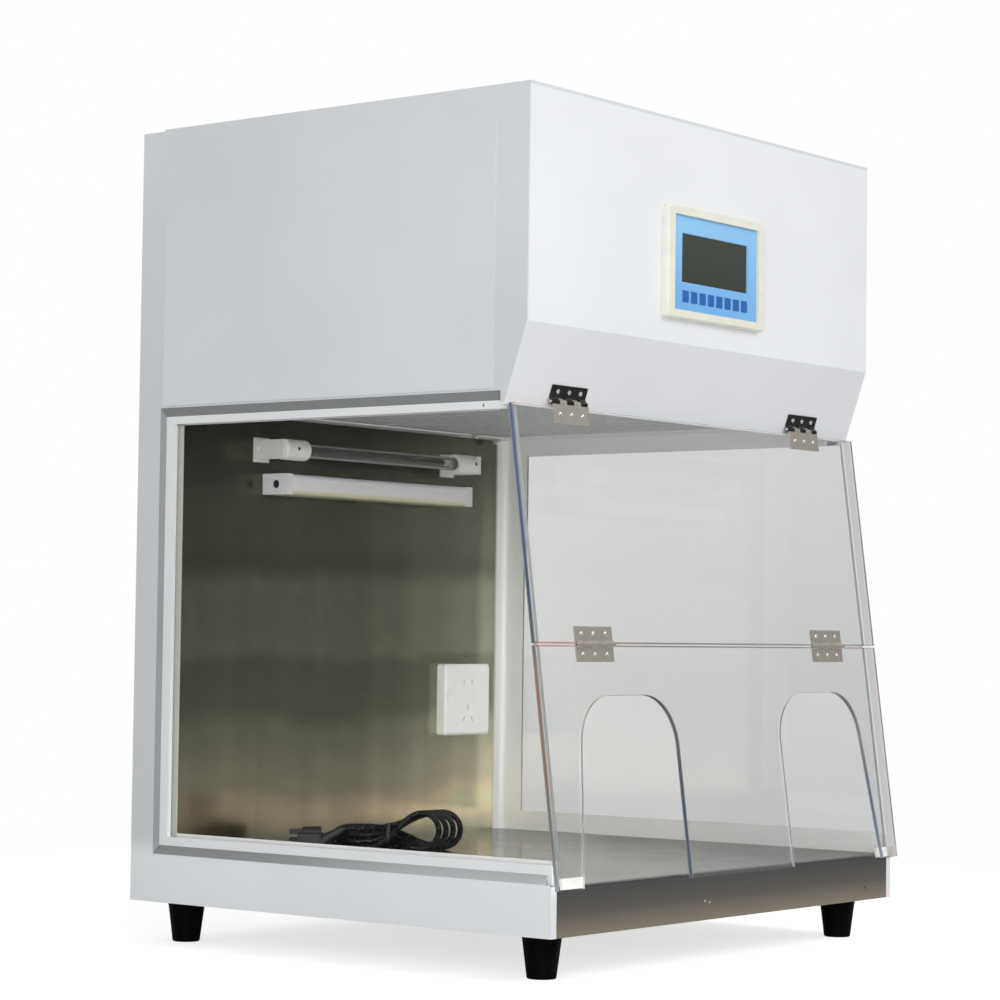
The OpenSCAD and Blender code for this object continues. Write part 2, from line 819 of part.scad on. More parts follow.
// Round lamp holder on a moulded foot that is screwed to the back wall.
module uv_holder() {
    foot_t = 8;
    foot_w = 22;
    base_w = 28;
    difference() {
        union() {
            rotate([0, 90, 0]) cylinder(h = cap_len, r = cap_r);
            translate([-foot_t, -foot_t, -foot_w / 2]) cube([foot_t, tube_out + foot_t, foot_w]);
            translate([-foot_t, tube_out - 3, -base_w / 2]) cube([24, 3, base_w]);
        }
        translate([cap_len - cap_over, 0, 0]) rotate([0, 90, 0])
            cylinder(h = cap_over + 1, r = tube_r + 0.02);
        translate([-foot_t - 1, tube_out - 10, 0]) rotate([0, 90, 0]) cylinder(h = 4, r = 4.5);
    }
}

module uv_holder_left() {
    color("white") placed() translate([tube_shift - tube_len / 2 + cap_over - cap_len, tube_y, tube_z])
        uv_holder();
}

module uv_holder_right() {
    color("white") placed() translate([tube_shift + tube_len / 2 - cap_over + cap_len, tube_y, tube_z])
        mirror([1, 0, 0]) uv_holder();
}

batten_z = ceiling_z - batten_drop;
batten_back = 14;
batten_cap = 11;

// The batten's metal channel with its two moulded end caps.
module batten_body() {
    color("white") placed() translate([batten_shift, wall_y, batten_z]) {
        translate([-batten_len / 2, -batten_back, -batten_h / 2]) cube([batten_len, batten_back, batten_h]);
        for (s = [-1, 1]) translate([s * (batten_len - batten_cap) / 2, 0, 0]) difference() {
            translate([-batten_cap / 2, -batten_d, -batten_h / 2]) cube([batten_cap, batten_d, batten_h]);
            translate([s * (batten_cap / 2 - 2), -batten_d / 2 - 2, 0]) rotate([0, s * 90, 0])
                cylinder(h = 5, r = 5);
        }
    }
}

module batten_cover() {
    soft = 7;
    len = batten_len - 2 * batten_cap;
    color("ghostwhite") placed() translate([batten_shift - len / 2, wall_y - batten_back, batten_z])
        rotate([90, 0, 90]) linear_extrude(len) {
            translate([-batten_d + batten_back + soft, -batten_h / 2])
                square([batten_d - batten_back - soft, batten_h]);
            translate([-batten_d + batten_back, -batten_h / 2 + soft])
                square([batten_d - batten_back, batten_h - 2 * soft]);
            for (s = [-1, 1])
                translate([-batten_d + batten_back + soft, s * (batten_h / 2 - soft)]) circle(soft);
        }
}

module socket_outlet() {
    soft = 2.5;
    color("white") placed() translate([socket_x, wall_y, work_z + socket_rise]) rotate([90, 0, 0])
        difference() {
            union() {
                linear_extrude(socket_d - soft) round_rect(socket_w, socket_w, 4);
                hull() {
                    translate([0, 0, socket_d - soft]) linear_extrude(eps)
                        round_rect(socket_w, socket_w, 4);
                    translate([0, 0, socket_d - eps]) linear_extrude(eps)
                        round_rect(socket_w - 2 * soft, socket_w - 2 * soft, 3);
                }
            }
            translate([0, 0, socket_d - 8]) for (x = [-1, 1]) translate([x * 8, 22, 0])
                linear_extrude(20) round_rect(2.6, 7, 1.2);
            translate([0, 0, socket_d - 8]) linear_extrude(20) {
                translate([0, -10]) round_rect(2.4, 8, 0.5);
                for (x = [-1, 1]) translate([x * 8, -24]) rotate(x * 30) round_rect(2.4, 8, 0.5);
            }
        }
}

module socket_back_box() {
    depth = back_y - wall_y;
    color("gray") placed() translate([socket_x, wall_y, work_z + socket_rise]) rotate([-90, 0, 0])
        difference() {
            slab([socket_box, socket_box, depth], 0);
            slab([socket_box - 4, socket_box - 4, depth - 2], -1);
        }
}

// ---- Sash and hinges ----

module sash_slab(low, high) {
    translate([-half_w, sash_out, low]) cube([hood_w, sash_t, high - low]);
}

module upper_sash() {
    color("lightcyan", 0.4) placed() on_sash() sash_slab(fold_s + fold_gap / 2, sash_top);
}

// One arm opening's outline, its outer side to the left: that side leans in and runs on to its corner.
module arm_outline() {
    low = sash_low - 1;
    corner_x = arm_lean + arm_r;
    corner_z = arm_h - arm_r;
    reach = norm([corner_x, corner_z - low]);
    heading = atan2(corner_z - low, corner_x) + asin(arm_r / reach);
    run = sqrt(pow(reach, 2) - pow(arm_r, 2));
    polygon([[0, low], [run * cos(heading), low + run * sin(heading)], [corner_x, corner_z],
        [arm_w, corner_z], [arm_w, low]]);
    translate([corner_x, 0]) square([arm_w - arm_r - corner_x, arm_h]);
    for (x = [corner_x, arm_w - arm_r]) translate([x, corner_z]) circle(arm_r);
}

module lower_sash() {
    legs = [left_leg_w, right_leg_w];
    color("lightcyan", 0.4) placed() on_sash() difference() {
        sash_slab(sash_low, fold_s - fold_gap / 2);
        for (i = [0, 1]) mirror([i, 0, 0]) translate([legs[i] - half_w, 0, 0]) rotate([90, 0, 0])
            translate([0, 0, sash_gap - 1]) linear_extrude(sash_t + 2) arm_outline();
    }
}

knuckles = 5;
side_gap = 0.25;

// Leaf bands at every second knuckle, the first at index from.
module knuckle_bands(w, from) {
    band = w / knuckles;
    for (i = [from:2:knuckles - 1]) translate([-w / 2 + i * band + side_gap, 0, 0])
        rotate([90, 0, 90]) linear_extrude(band - 2 * side_gap) children();
}

module knuckle_bore(w) {
    translate([-w, 0, 0]) rotate([0, 90, 0]) cylinder(h = 2 * w, r = pin_r + pin_fit);
}

module hinge_pair() {
    for (s = [-1, 1]) translate([s * (half_w - hinge_inset) + hinge_shift, 0, 0]) children();
}

// One leaf of an upper hinge or a middle hinge about its own axis: a flat plate that lies from near to
// far below the axis, with its back a distance behind the axis, and knuckles on every second band.
module leaf(w, from, near, far, back) {
    difference() {
        union() {
            translate([-w / 2, back - leaf_t, -far]) cube([w, leaf_t, far - near]);
            knuckle_bands(w, from) {
                circle(knuckle_r);
                polygon([[back - leaf_t, -near - eps], [back, -near - eps], [back, 0],
                    [back - leaf_t, 0]]);
                polygon([[back, -near - eps], [back, 0], [0, 0], [0, -knuckle_r]]);
            }
        }
        knuckle_bore(w);
    }
}

// The fixed leaf lies up the fascia: drawn upward from the axis along the fascia's slope.
module upper_hinge_fixed_leaves() {
    drop = (axis_z - lip_z) * tan(fascia_a);
    back = (lip_y - drop - upper_y) * cos(fascia_a);
    near = 3.4;
    far = 17;
    color("silver") placed() translate([0, upper_y, axis_z]) rotate([fascia_a, 0, 0]) hinge_pair()
        difference() {
            union() {
                translate([-upper_hinge_w / 2, back - leaf_t, near])
                    cube([upper_hinge_w, leaf_t, far - near]);
                knuckle_bands(upper_hinge_w, 0) {
                    circle(knuckle_r);
                    polygon([[0, -eps], [back, near], [back, near + 1.5], [back - leaf_t, near + 1.5],
                        [-1, knuckle_r - 1]]);
                }
            }
            knuckle_bore(upper_hinge_w);
        }
}

upper_leaf_low = 17;

module upper_hinge_swing_leaves() {
    far = upper_s - (sash_top - upper_leaf_low);
    color("silver") placed() on_sash() translate([0, upper_n, upper_s]) hinge_pair() difference() {
        union() {
            translate([-upper_hinge_w / 2, -knuckle_r, -far])
                cube([upper_hinge_w, leaf_t, far - knuckle_r]);
            knuckle_bands(upper_hinge_w, 1) {
                circle(knuckle_r);
                translate([-knuckle_r, -knuckle_r - 0.5]) square([leaf_t, knuckle_r + 0.5]);
            }
        }
        knuckle_bore(upper_hinge_w);
    }
}

module upper_hinge_pins() {
    color("silver") placed() translate([0, upper_y, axis_z]) hinge_pair()
        translate([-upper_hinge_w / 2 - 0.8, 0, 0]) rotate([0, 90, 0])
            cylinder(h = upper_hinge_w + 1.6, r = pin_r);
}

// A middle leaf: flat on the sash, carried out to the axis by its knuckles.
module mid_leaves(up, from) {
    back = -mid_n + sash_out;
    hinge_pair() difference() {
        union() {
            translate([-mid_hinge_w / 2, back - leaf_t, up > 0 ? knuckle_r + fit : -mid_leaf_h])
                cube([mid_hinge_w, leaf_t, mid_leaf_h - knuckle_r - fit]);
            knuckle_bands(mid_hinge_w, from) {
                circle(knuckle_r);
                polygon([[0, 0], [back, up * (knuckle_r - 1.6)], [back, up * (knuckle_r + 1.5)],
                    [back - leaf_t, up * (knuckle_r + 1.5)], [0, up * knuckle_r]]);
            }
        }
        knuckle_bore(mid_hinge_w);
    }
}

module mid_hinge_upper_leaves() {
    color("silver") placed() on_sash() translate([0, mid_n, fold_s]) mid_leaves(1, 0);
}

module mid_hinge_lower_leaves() {
    color("silver") placed() on_sash() translate([0, mid_n, fold_s]) mid_leaves(-1, 1);
}

module mid_hinge_pins() {
    color("silver") placed() on_sash() translate([0, mid_n, fold_s]) hinge_pair()
        translate([-mid_hinge_w / 2 - 0.8, 0, 0]) rotate([0, 90, 0])
            cylinder(h = mid_hinge_w + 1.6, r = pin_r);
}

rest_w = 34;
rest_h = 11;

// Small blocks at the foot of the front edges that the sash closes on, the left one further in.
module sash_rests() {
    inset = [10, 1];
    low = -4;
    color("white") placed() for (i = [0, 1]) mirror([i, 0, 0]) on_sash()
        translate([inset[i] - half_w, -sash_gap + fit, low]) difference() {
            cube([rest_w, sash_gap - fit, rest_h]);
            translate([15, -1, 3]) cube([15, 2.2, 4.5]);
        }
}

// ---- Feet and mains lead ----

bolt_r = 3;

module rubber_feet() {
    color("black") placed() for (x = [-1, 1], y = [foot_inset, hood_d - foot_inset])
        translate([x * (half_w - foot_inset), y, 0]) rotate_extrude(convexity = 4)
            polygon([[bolt_r + 0.2, 12], [8, 12], [8, 0], [foot_low_r - 1, 0], [foot_low_r, 1],
                [foot_top_r - 0.6, foot_h - 6], [foot_top_r, foot_h - 3],
                [foot_top_r, foot_h + sheet_t], [bolt_r + 0.2, foot_h + sheet_t]]);
}

fold_r = 3.03 * lead_d;
turns = 4;
turn_pitch = lead_d + 0.7;
hank_x = -23.5;
hank_back = 208.5;
hank_y = wall_y - hank_back;
hank_turn = 38;
hank_run = 100;
hank_tall = 2 * fold_r + lead_d;
hank_wide = (turns - 1) * turn_pitch + lead_d;
rear_fold_y = hank_run + hank_tall / 2;
end_y = rear_fold_y + sqrt(pow(hank_tall / 2, 2) - pow(fold_r, 2));

// The folded lead lies on the work surface, its front folds towards the arm openings.
module on_hank() {
    placed() translate([hank_x, hank_y, work_z]) rotate([0, 0, hank_turn]) children();
}

// The folded lead's outer shape: folds stand upright at the front and lie flat at the rear.
module mains_lead() {
    color("black") on_hank() hull() {
        translate([-hank_wide / 2, hank_tall / 2, hank_tall / 2]) rotate([0, 90, 0])
            cylinder(h = hank_wide, d = hank_tall, $fn = 32);
        translate([0, rear_fold_y, 0]) cylinder(h = hank_wide, d = hank_tall, $fn = 32);
    }
}

relief_len = 30;
relief_r = lead_d / 2 + 0.7;

// A moulded end: its tapered relief leaves the folded lead at one height, and its body lies at another.
module lead_end(x, from_z, to_z) {
    slope = asin((from_z - to_z) / relief_len);
    color("black") on_hank() translate([x, end_y, 0]) {
        translate([0, 0, from_z]) rotate([-90 - slope, 0, 0])
            cylinder(h = relief_len, r1 = relief_r, r2 = relief_r + 2.3);
        translate([0, relief_len * cos(slope) - 1, to_z]) rotate([-90, 0, 0]) children();
    }
}

connector_tall = 19.9;
plug_tall = 23.9;

module lead_connector() {
    lead_end(-fold_r, hank_wide - lead_d / 2, connector_tall / 2) difference() {
        linear_extrude(26) round_rect(23, connector_tall, 3);
        for (p = [[0, -3.4], [-7, 2.6], [7, 2.6]]) translate([p[0] - 1.2, p[1] - 2.2, 10])
            cube([2.4, 4.4, 20]);
    }
}

module lead_plug() {
    lead_end(fold_r, relief_r, plug_tall / 2) {
        linear_extrude(20) round_rect(24, plug_tall, 6);
        for (p = [[0, -6, 0], [-6, 4, 30], [6, 4, -30]])
            translate([p[0], p[1], 20 - eps]) rotate([0, 0, p[2]])
                translate([-0.75, -3.2, 0]) cube([1.5, 6.4, 16]);
    }
}

base_pan();
work_surface();
left_side_skin();
right_side_skin();
back_panel();
roof_panel();
front_cover();
left_service_panel();
right_service_panel();
chamber_liner();
filter_deck();
diffuser_screen();
filter_frame();
filter_pleats();
blower_plate();
blower_casing();
blower_motor();
motor_shaft();
impeller();
intake_grille();
prefilter_pad();
left_window_frame();
right_window_frame();
left_window_glass();
right_window_glass();
panel_bezel();
panel_face();
display();
control_board();
key(1);  // key_1
key(2);  // key_2
key(3);  // key_3
key(4);  // key_4
key(5);  // key_5
key(6);  // key_6
key(7);  // key_7
key(8);  // key_8
mains_inlet();
lamp_ballast();
uv_tube();
uv_holder_left();
uv_holder_right();
batten_body();
batten_cover();
socket_outlet();
socket_back_box();
upper_sash();
lower_sash();
upper_hinge_fixed_leaves();
upper_hinge_swing_leaves();
upper_hinge_pins();
mid_hinge_upper_leaves();
mid_hinge_lower_leaves();
mid_hinge_pins();
sash_rests();
rubber_feet();
mains_lead();
lead_connector();
lead_plug();
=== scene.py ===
"""Looks of a bench-top laminar flow hood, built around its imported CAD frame.

Units are metres, in the frame's own axes: X to the right, Y to the back, Z up.
"""

import math
import random

import bmesh
import bpy
from mathutils import Matrix, Vector


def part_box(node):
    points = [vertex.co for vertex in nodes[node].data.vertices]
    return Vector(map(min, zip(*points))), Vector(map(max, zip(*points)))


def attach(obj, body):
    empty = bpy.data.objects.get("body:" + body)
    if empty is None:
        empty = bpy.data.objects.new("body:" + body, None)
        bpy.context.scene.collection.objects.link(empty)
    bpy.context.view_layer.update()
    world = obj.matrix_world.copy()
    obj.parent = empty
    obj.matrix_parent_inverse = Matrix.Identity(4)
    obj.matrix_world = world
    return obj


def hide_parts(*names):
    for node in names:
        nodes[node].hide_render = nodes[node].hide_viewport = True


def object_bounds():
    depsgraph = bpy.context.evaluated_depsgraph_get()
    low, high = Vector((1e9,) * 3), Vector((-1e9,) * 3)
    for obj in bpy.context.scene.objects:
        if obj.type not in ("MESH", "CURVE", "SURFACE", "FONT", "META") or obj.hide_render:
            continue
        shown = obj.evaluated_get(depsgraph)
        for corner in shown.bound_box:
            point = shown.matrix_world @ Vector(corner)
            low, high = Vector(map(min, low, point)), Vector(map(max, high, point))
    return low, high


MM = 0.001
UP = Vector((0, 0, 1))

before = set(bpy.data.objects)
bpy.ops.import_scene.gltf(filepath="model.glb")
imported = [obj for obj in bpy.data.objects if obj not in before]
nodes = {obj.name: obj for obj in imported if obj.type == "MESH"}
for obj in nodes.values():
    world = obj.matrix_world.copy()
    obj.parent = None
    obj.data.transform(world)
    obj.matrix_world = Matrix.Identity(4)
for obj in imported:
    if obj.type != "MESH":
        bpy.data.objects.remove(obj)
cad_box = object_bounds()
scene = bpy.context.scene
scene.view_settings.view_transform = "Standard"
random.seed(7)


# ---- Camera ----

CAMERA_AT = Vector((-2.5718, -1.9765, 0.3427))
CAMERA_AZIMUTH = math.radians(-51.90866)
CAMERA_ELEVATION = math.radians(-2.66825)
CAMERA_ROLL = math.radians(0.74639)
LENS = 103.12
SENSOR = 36.0


def make_camera():
    """The camera at the photograph's viewing angle."""
    flat = math.cos(CAMERA_ELEVATION)
    back = Vector((math.sin(CAMERA_AZIMUTH) * flat, -math.cos(CAMERA_AZIMUTH) * flat,
                   math.sin(CAMERA_ELEVATION)))
    right = (-back).cross(UP).normalized()
    up = right.cross(-back)
    turn = Matrix.Rotation(-CAMERA_ROLL, 3, -back)
    axes = Matrix((turn @ right, turn @ up, back)).transposed()
    data = bpy.data.cameras.new("photo_camera")
    data.lens = LENS
    data.sensor_width = SENSOR
    data.clip_start = 0.05
    data.clip_end = 60
    camera = bpy.data.objects.new("photo_camera", data)
    camera.matrix_world = Matrix.Translation(CAMERA_AT) @ axes.to_4x4()
    scene.collection.objects.link(camera)
    scene.camera = camera


make_camera()


# ---- Shader helpers ----

class Shader:
    """A material's node tree, with short calls that add its nodes and join them."""

    def __init__(self, name):
        self.material = bpy.data.materials.new(name)
        self.material.use_nodes = True
        self.tree = self.material.node_tree
        self.tree.nodes.clear()
        self.out = self.add("ShaderNodeOutputMaterial")
        self.coords = self.add("ShaderNodeTexCoord")
        self.place = self.coords.outputs["Object"]
        self.normal = self.coords.outputs["Normal"]

    def add(self, kind, inputs=None, **settings):
        node = self.tree.nodes.new(kind)
        for key, value in settings.items():
            setattr(node, key, value)
        for key, value in (inputs or {}).items():
            self.join(value, node.inputs[key])
        return node

    def join(self, value, socket):
        if isinstance(value, bpy.types.NodeSocket):
            self.tree.links.new(value, socket)
        else:
            socket.default_value = value

    def noise(self, scale, stretch=(1, 1, 1), detail=3.0, rough=0.55):
        """Noise of a feature rate per metre, drawn out along the axes where stretch is small."""
        mapped = self.add("ShaderNodeMapping", {"Vector": self.place, "Scale": stretch})
        return self.add("ShaderNodeTexNoise", {
            "Vector": mapped.outputs["Vector"], "Scale": scale, "Detail": detail,
            "Roughness": rough}).outputs["Fac"]

    def ramp(self, value, stops, smooth=False):
        """Colours or greys at places from 0 to 1."""
        node = self.add("ShaderNodeValToRGB", {"Fac": value})
        node.color_ramp.interpolation = "EASE" if smooth else "LINEAR"
        elements = node.color_ramp.elements
        while len(elements) > len(stops):
            elements.remove(elements[-1])
        for i, (at, colour) in enumerate(stops):
            element = elements[i] if i < len(elements) else elements.new(at)
            element.position = at
            grey = not hasattr(colour, "__len__")
            element.color = (colour,) * 3 + (1,) if grey else (*colour, 1)
        return node.outputs["Color"]

    def math(self, operation, a, b=0.0, clamp=False):
        return self.add("ShaderNodeMath", {0: a, 1: b}, operation=operation,
                        use_clamp=clamp).outputs["Value"]

    def span(self, value, low, high, to_low=0.0, to_high=1.0, smooth=True):
        """Maps low..high to to_low..to_high, held level outside."""
        return self.add("ShaderNodeMapRange", {
            "Value": value, "From Min": low, "From Max": high, "To Min": to_low,
            "To Max": to_high},
            interpolation_type="SMOOTHSTEP" if smooth else "LINEAR").outputs["Result"]

    def mix(self, factor, a, b):
        node = self.add("ShaderNodeMix", data_type="RGBA")
        for key, value in ((0, factor), (6, a), (7, b)):
            if hasattr(value, "__len__") and len(value) == 3:
                value = (*value, 1)
            self.join(value, node.inputs[key])
        return node.outputs[2]

    def scale(self, colour, factor):
        """A colour made brighter or darker by a number."""
        if not isinstance(colour, bpy.types.NodeSocket):
            colour = tuple(colour)[:3]
        return self.add("ShaderNodeVectorMath", {0: colour, "Scale": factor},
                        operation="SCALE").outputs["Vector"]

    def axis(self, which, of=None):
        """One coordinate of a point, or of another vector, as a number."""
        split = self.add("ShaderNodeSeparateXYZ", {"Vector": of or self.place})
        return split.outputs[which]

    def bump(self, height, strength, distance=0.001):
        return self.add("ShaderNodeBump", {
            "Height": height, "Strength": strength, "Distance": distance}).outputs["Normal"]

    def principled(self, colour, roughness, metallic=0.0, normal=None, **more):
        if hasattr(colour, "__len__") and len(colour) == 3:
            colour = (*colour, 1)
        inputs = {"Base Color": colour, "Roughness": roughness, "Metallic": metallic}
        inputs.update({key.replace("_", " "): value for key, value in more.items()})
        if normal is not None:
            inputs["Normal"] = normal
        return self.add("ShaderNodeBsdfPrincipled", inputs).outputs["BSDF"]

    def end(self, surface):
        self.tree.links.new(surface, self.out.inputs["Surface"])
        return self.material

    def end_clear(self, surface):
        """Ends a clear material: lamps shine through it."""
        ray = self.add("ShaderNodeLightPath").outputs["Is Shadow Ray"]
        through = self.add("ShaderNodeBsdfTransparent").outputs["BSDF"]
        both = self.add("ShaderNodeMixShader", {0: ray})
        self.tree.links.new(surface, both.inputs[1])
        self.tree.links.new(through, both.inputs[2])
        return self.end(both.outputs["Shader"])


def srgb(red, green, blue):
    """A colour as read in a picture, 0 to 255, made linear."""
    def linear(value):
        part = value / 255
        return part / 12.92 if part <= 0.04045 else ((part + 0.055) / 1.055) ** 2.4
    return tuple(linear(v) for v in (red, green, blue))


def shade(colour, factor):
    """A plain colour made brighter or darker, held at 1."""
    return tuple(min(1.0, c * factor) for c in colour)


# ---- Materials ----

def bevel_shade(s):
    """The light left where a side skin slants into its window recess.

    It is least at the top, and fades to the rear along the bottom.
    """
    sideways = s.math("ABSOLUTE", s.axis(0, s.normal))
    slanted = s.math("MULTIPLY", s.span(sideways, 0.3, 0.45), s.span(sideways, 0.95, 0.99, 1, 0))
    rise = s.span(s.axis(2, s.normal), -1, 1, smooth=False)
    left = s.ramp(rise, [(0.24, 0.37), (0.5, 0.47), (0.76, 0.60)])
    rearward = s.span(s.axis(1), -0.17, 0.16, 1.0, 0.55)
    left = s.math("MULTIPLY", left, s.span(rise, 0.55, 0.7, 1.0, rearward))
    return s.span(slanted, 0, 1, 1.0, left, smooth=False)


def fascia_shade(s):
    """The slight shade on the front cover's leaning part."""
    return s.span(s.axis(2, s.normal), -0.2, -0.3, 1.0, 0.93)


def powder_coat(name, colour, roughness=0.42, dim=None):
    """Sprayed powder coat: a fine orange peel, faint cloudiness and a slight change of gloss.

    colour is one colour, or stops by height, which can paint light and shade in. dim paints shade:
    it works out how much light a place keeps.
    """
    s = Shader(name)
    base = s.ramp(s.axis(2), colour) if isinstance(colour, list) else colour
    cloud = s.noise(5, detail=2)
    grain = s.noise(1100, detail=2)
    tone = s.math("ADD", s.math("MULTIPLY", cloud, 0.8), s.math("MULTIPLY", grain, 0.2))
    tint = s.scale(base, s.span(tone, 0.3, 0.7, 0.965, 1.02, smooth=False))
    if dim:
        tint = s.scale(tint, dim(s))
    gloss = s.span(s.noise(14), 0.3, 0.7, roughness - 0.05, roughness + 0.05)
    peel = s.noise(420, detail=2, rough=0.4)
    return s.end(s.principled(tint, gloss, normal=s.bump(peel, 0.10, 0.0006)))


LEVEL_GRAIN = (0.02, 0.02, 1.0)
SIDEWAYS_GRAIN = (0.02, 1.0, 1.0)
DECK_TOP = 95.5 * MM
DECK_GREY = (0.38, 0.385, 0.365)
# Painted reflection on the apron by height: warm low down where it mirrors the floor, dark above.
APRON_PAINTED_REFLECTION = [(0.045, (0.42, 0.365, 0.28)), (0.068, (0.19, 0.177, 0.16)),
               (0.094, (0.12, 0.122, 0.123))]
# Where and how far the deck's reflection is painted dimmer.
GRAZE_FALL = Vector((-0.7, 0.15, 0.0))
GRAZE_LEVEL = 0.62
GRAZE_LEAST = 0.25


def work_steel(name):
    """The work surface's brushed steel, its grain running sideways, with a darker apron coloured
    by a painted reflection.

    At a low look the deck's reflection is painted dimmer than bare steel would give, and dimmest
    at the right.
    """
    s = Shader(name)
    fine = s.noise(900, SIDEWAYS_GRAIN, detail=4, rough=0.7)
    broad = s.noise(60, SIDEWAYS_GRAIN, detail=3)
    smudge = s.noise(7, detail=3)
    tone = s.math("ADD", s.math("MULTIPLY", fine, 0.5), s.math("MULTIPLY", broad, 0.5))
    deck = s.ramp(tone, [(0.30, shade(DECK_GREY, 0.95)), (0.70, shade(DECK_GREY, 1.05))])
    below = s.span(s.axis(2), DECK_TOP - 2 * MM, DECK_TOP, 1, 0)
    steel = s.mix(below, deck, s.ramp(s.axis(2), APRON_PAINTED_REFLECTION))
    # Painted shade on the deck's reflection: a share of it, least towards the right, kept full on
    # the apron.
    fall = s.add("ShaderNodeVectorMath", {0: s.place, 1: GRAZE_FALL}, operation="DOT_PRODUCT")
    painted_reflection_share = s.math("ADD", fall.outputs["Value"], GRAZE_LEVEL, clamp=True)
    painted_reflection_share = s.math("MAXIMUM", s.math("MAXIMUM", painted_reflection_share, GRAZE_LEAST), below)
    rough = s.math("ADD", s.span(fine, 0.3, 0.7, 0.10, 0.22),
                   s.span(smudge, 0.45, 0.75, 0.0, 0.06))
    return s.end(s.principled(steel, rough, 0.9, s.bump(broad, 0.003, 0.0004),
                              Specular_Tint=painted_reflection_share))


# Painted reflections on the back wall by height, from the foot to the top, with a warm bright band
# near the foot.
BACK_WALL_REFLECTIONS = [(0.0, (0.34, 0.33, 0.25)), (0.07, (0.60, 0.48, 0.33)),
              (0.15, (0.36, 0.33, 0.24)), (0.26, (0.24, 0.24, 0.175)),
              (0.32, (0.15, 0.155, 0.11)), (0.42, (0.14, 0.145, 0.105)),
              (0.45, (0.19, 0.195, 0.145)), (0.60, (0.17, 0.175, 0.13)),
              (0.67, (0.10, 0.103, 0.078)), (0.72, (0.115, 0.12, 0.09)),
              (1.0, (0.075, 0.078, 0.06))]


def lining_steel(name):
    """The chamber's brushed lining, coloured with painted reflections: olive on the back wall,
    lighter low down and towards the right in upright streaks, and pale at the sides.

    The coved corners turn pale together with the sides, as a painted highlight.
    """
    s = Shader(name)
    low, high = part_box("chamber_liner")
    across = s.math("ABSOLUTE", s.axis(0, s.normal))
    side = s.span(across, 0.10, 0.45)
    grain = s.noise(900, LEVEL_GRAIN, detail=4, rough=0.7)
    drift = s.math("MULTIPLY", s.math("SUBTRACT", s.noise(6, detail=2), 0.5), 0.10)
    rise = s.math("ADD", s.span(s.axis(2), low.z, high.z, smooth=False), drift)
    back = s.ramp(rise, BACK_WALL_REFLECTIONS, smooth=True)
    # Painted light: the back wall grows lighter towards the right, in upright streaks of painted
    # reflection.
    right = s.span(s.axis(0), 0.0, high.x, 1.0, 2.1)
    reflection_streaks = s.span(s.noise(24, (1.0, 0.05, 0.02), detail=3), 0.35, 0.65, 0.93, 1.08)
    painted_light_gain = s.math("MULTIPLY", right, reflection_streaks)
    # Painted reflection: the side walls and coves are painted pale, with little metal left.
    pale = s.ramp(grain, [(0.3, (0.88, 0.88, 0.87)), (0.7, (0.94, 0.94, 0.93))])
    tint = s.mix(side, s.scale(back, painted_light_gain), pale)
    rough = s.math("ADD", s.span(grain, 0.3, 0.7, 0.19, 0.25), s.math("MULTIPLY", side, 0.14))
    metallic = s.span(side, 0, 1, 1.0, 0.1)
    soft = s.noise(60, LEVEL_GRAIN)
    return s.end(s.principled(tint, rough, metallic, s.bump(soft, 0.003, 0.0004)))


def plain_metal(name, colour, roughness, scratch=0.04, metallic=1.0):
    """Plated or rolled steel with faint scratches and a cloudy gloss."""
    s = Shader(name)
    cloud = s.noise(90, detail=3)
    hair = s.noise(700, (1, 6, 2), detail=3)
    steel = s.ramp(cloud, [(0.3, shade(colour, 1 - scratch)), (0.7, shade(colour, 1 + scratch))])
    rough = s.span(hair, 0.3, 0.7, roughness * 0.75, roughness * 1.3)
    return s.end(s.principled(steel, rough, metallic, s.bump(hair, 0.05, 0.0003)))


def galvanised(name):
    """Zinc-coated sheet with its spangle."""
    s = Shader(name)
    cell = s.add("ShaderNodeTexVoronoi", {"Vector": s.place, "Scale": 140.0}).outputs["Color"]
    grey = s.axis(0, cell)
    tint = s.ramp(grey, [(0.0, srgb(158, 163, 168)), (1.0, srgb(188, 193, 197))])
    return s.end(s.principled(tint, s.span(grey, 0, 1, 0.32, 0.48), 0.85,
                              s.bump(grey, 0.04, 0.0002)))


def moulded(name, colour, roughness, grain=900, peel=0.06):
    """Moulded plastic: a fine grain, a faint flow mark and an uneven gloss."""
    s = Shader(name)
    flow = s.noise(38, (1, 1, 2.5), detail=3)
    tint = s.ramp(flow, [(0.3, shade(colour, 0.95)), (0.7, shade(colour, 1.03))])
    rough = s.span(s.noise(55), 0.3, 0.7, roughness - 0.05, roughness + 0.06)
    texture = s.noise(grain, detail=2)
    return s.end(s.principled(tint, rough, normal=s.bump(texture, peel, 0.0004)))


def rubber(name):
    """Dull moulded rubber with dust in its pores."""
    s = Shader(name)
    pores = s.noise(1300, detail=3)
    dust = s.noise(26, detail=4)
    tint = s.ramp(dust, [(0.35, (0.001, 0.001, 0.001)), (0.8, (0.004, 0.004, 0.0037))])
    rough = s.span(dust, 0.3, 0.7, 0.42, 0.62)
    return s.end(s.principled(tint, rough, normal=s.bump(pores, 0.12, 0.0004),
                              Specular_IOR_Level=0.06))


def cable_sheath(name):
    """Smooth PVC sheath with a faint lay of the cores showing through."""
    s = Shader(name)
    soft = s.noise(160, detail=3)
    tint = s.ramp(soft, [(0.3, (0.003, 0.003, 0.0033)), (0.75, (0.009, 0.009, 0.0095))])
    rough = s.span(soft, 0.3, 0.7, 0.2, 0.3)
    return s.end(s.principled(tint, rough, normal=s.bump(s.noise(900), 0.03, 0.0003),
                              Specular_IOR_Level=0.28))


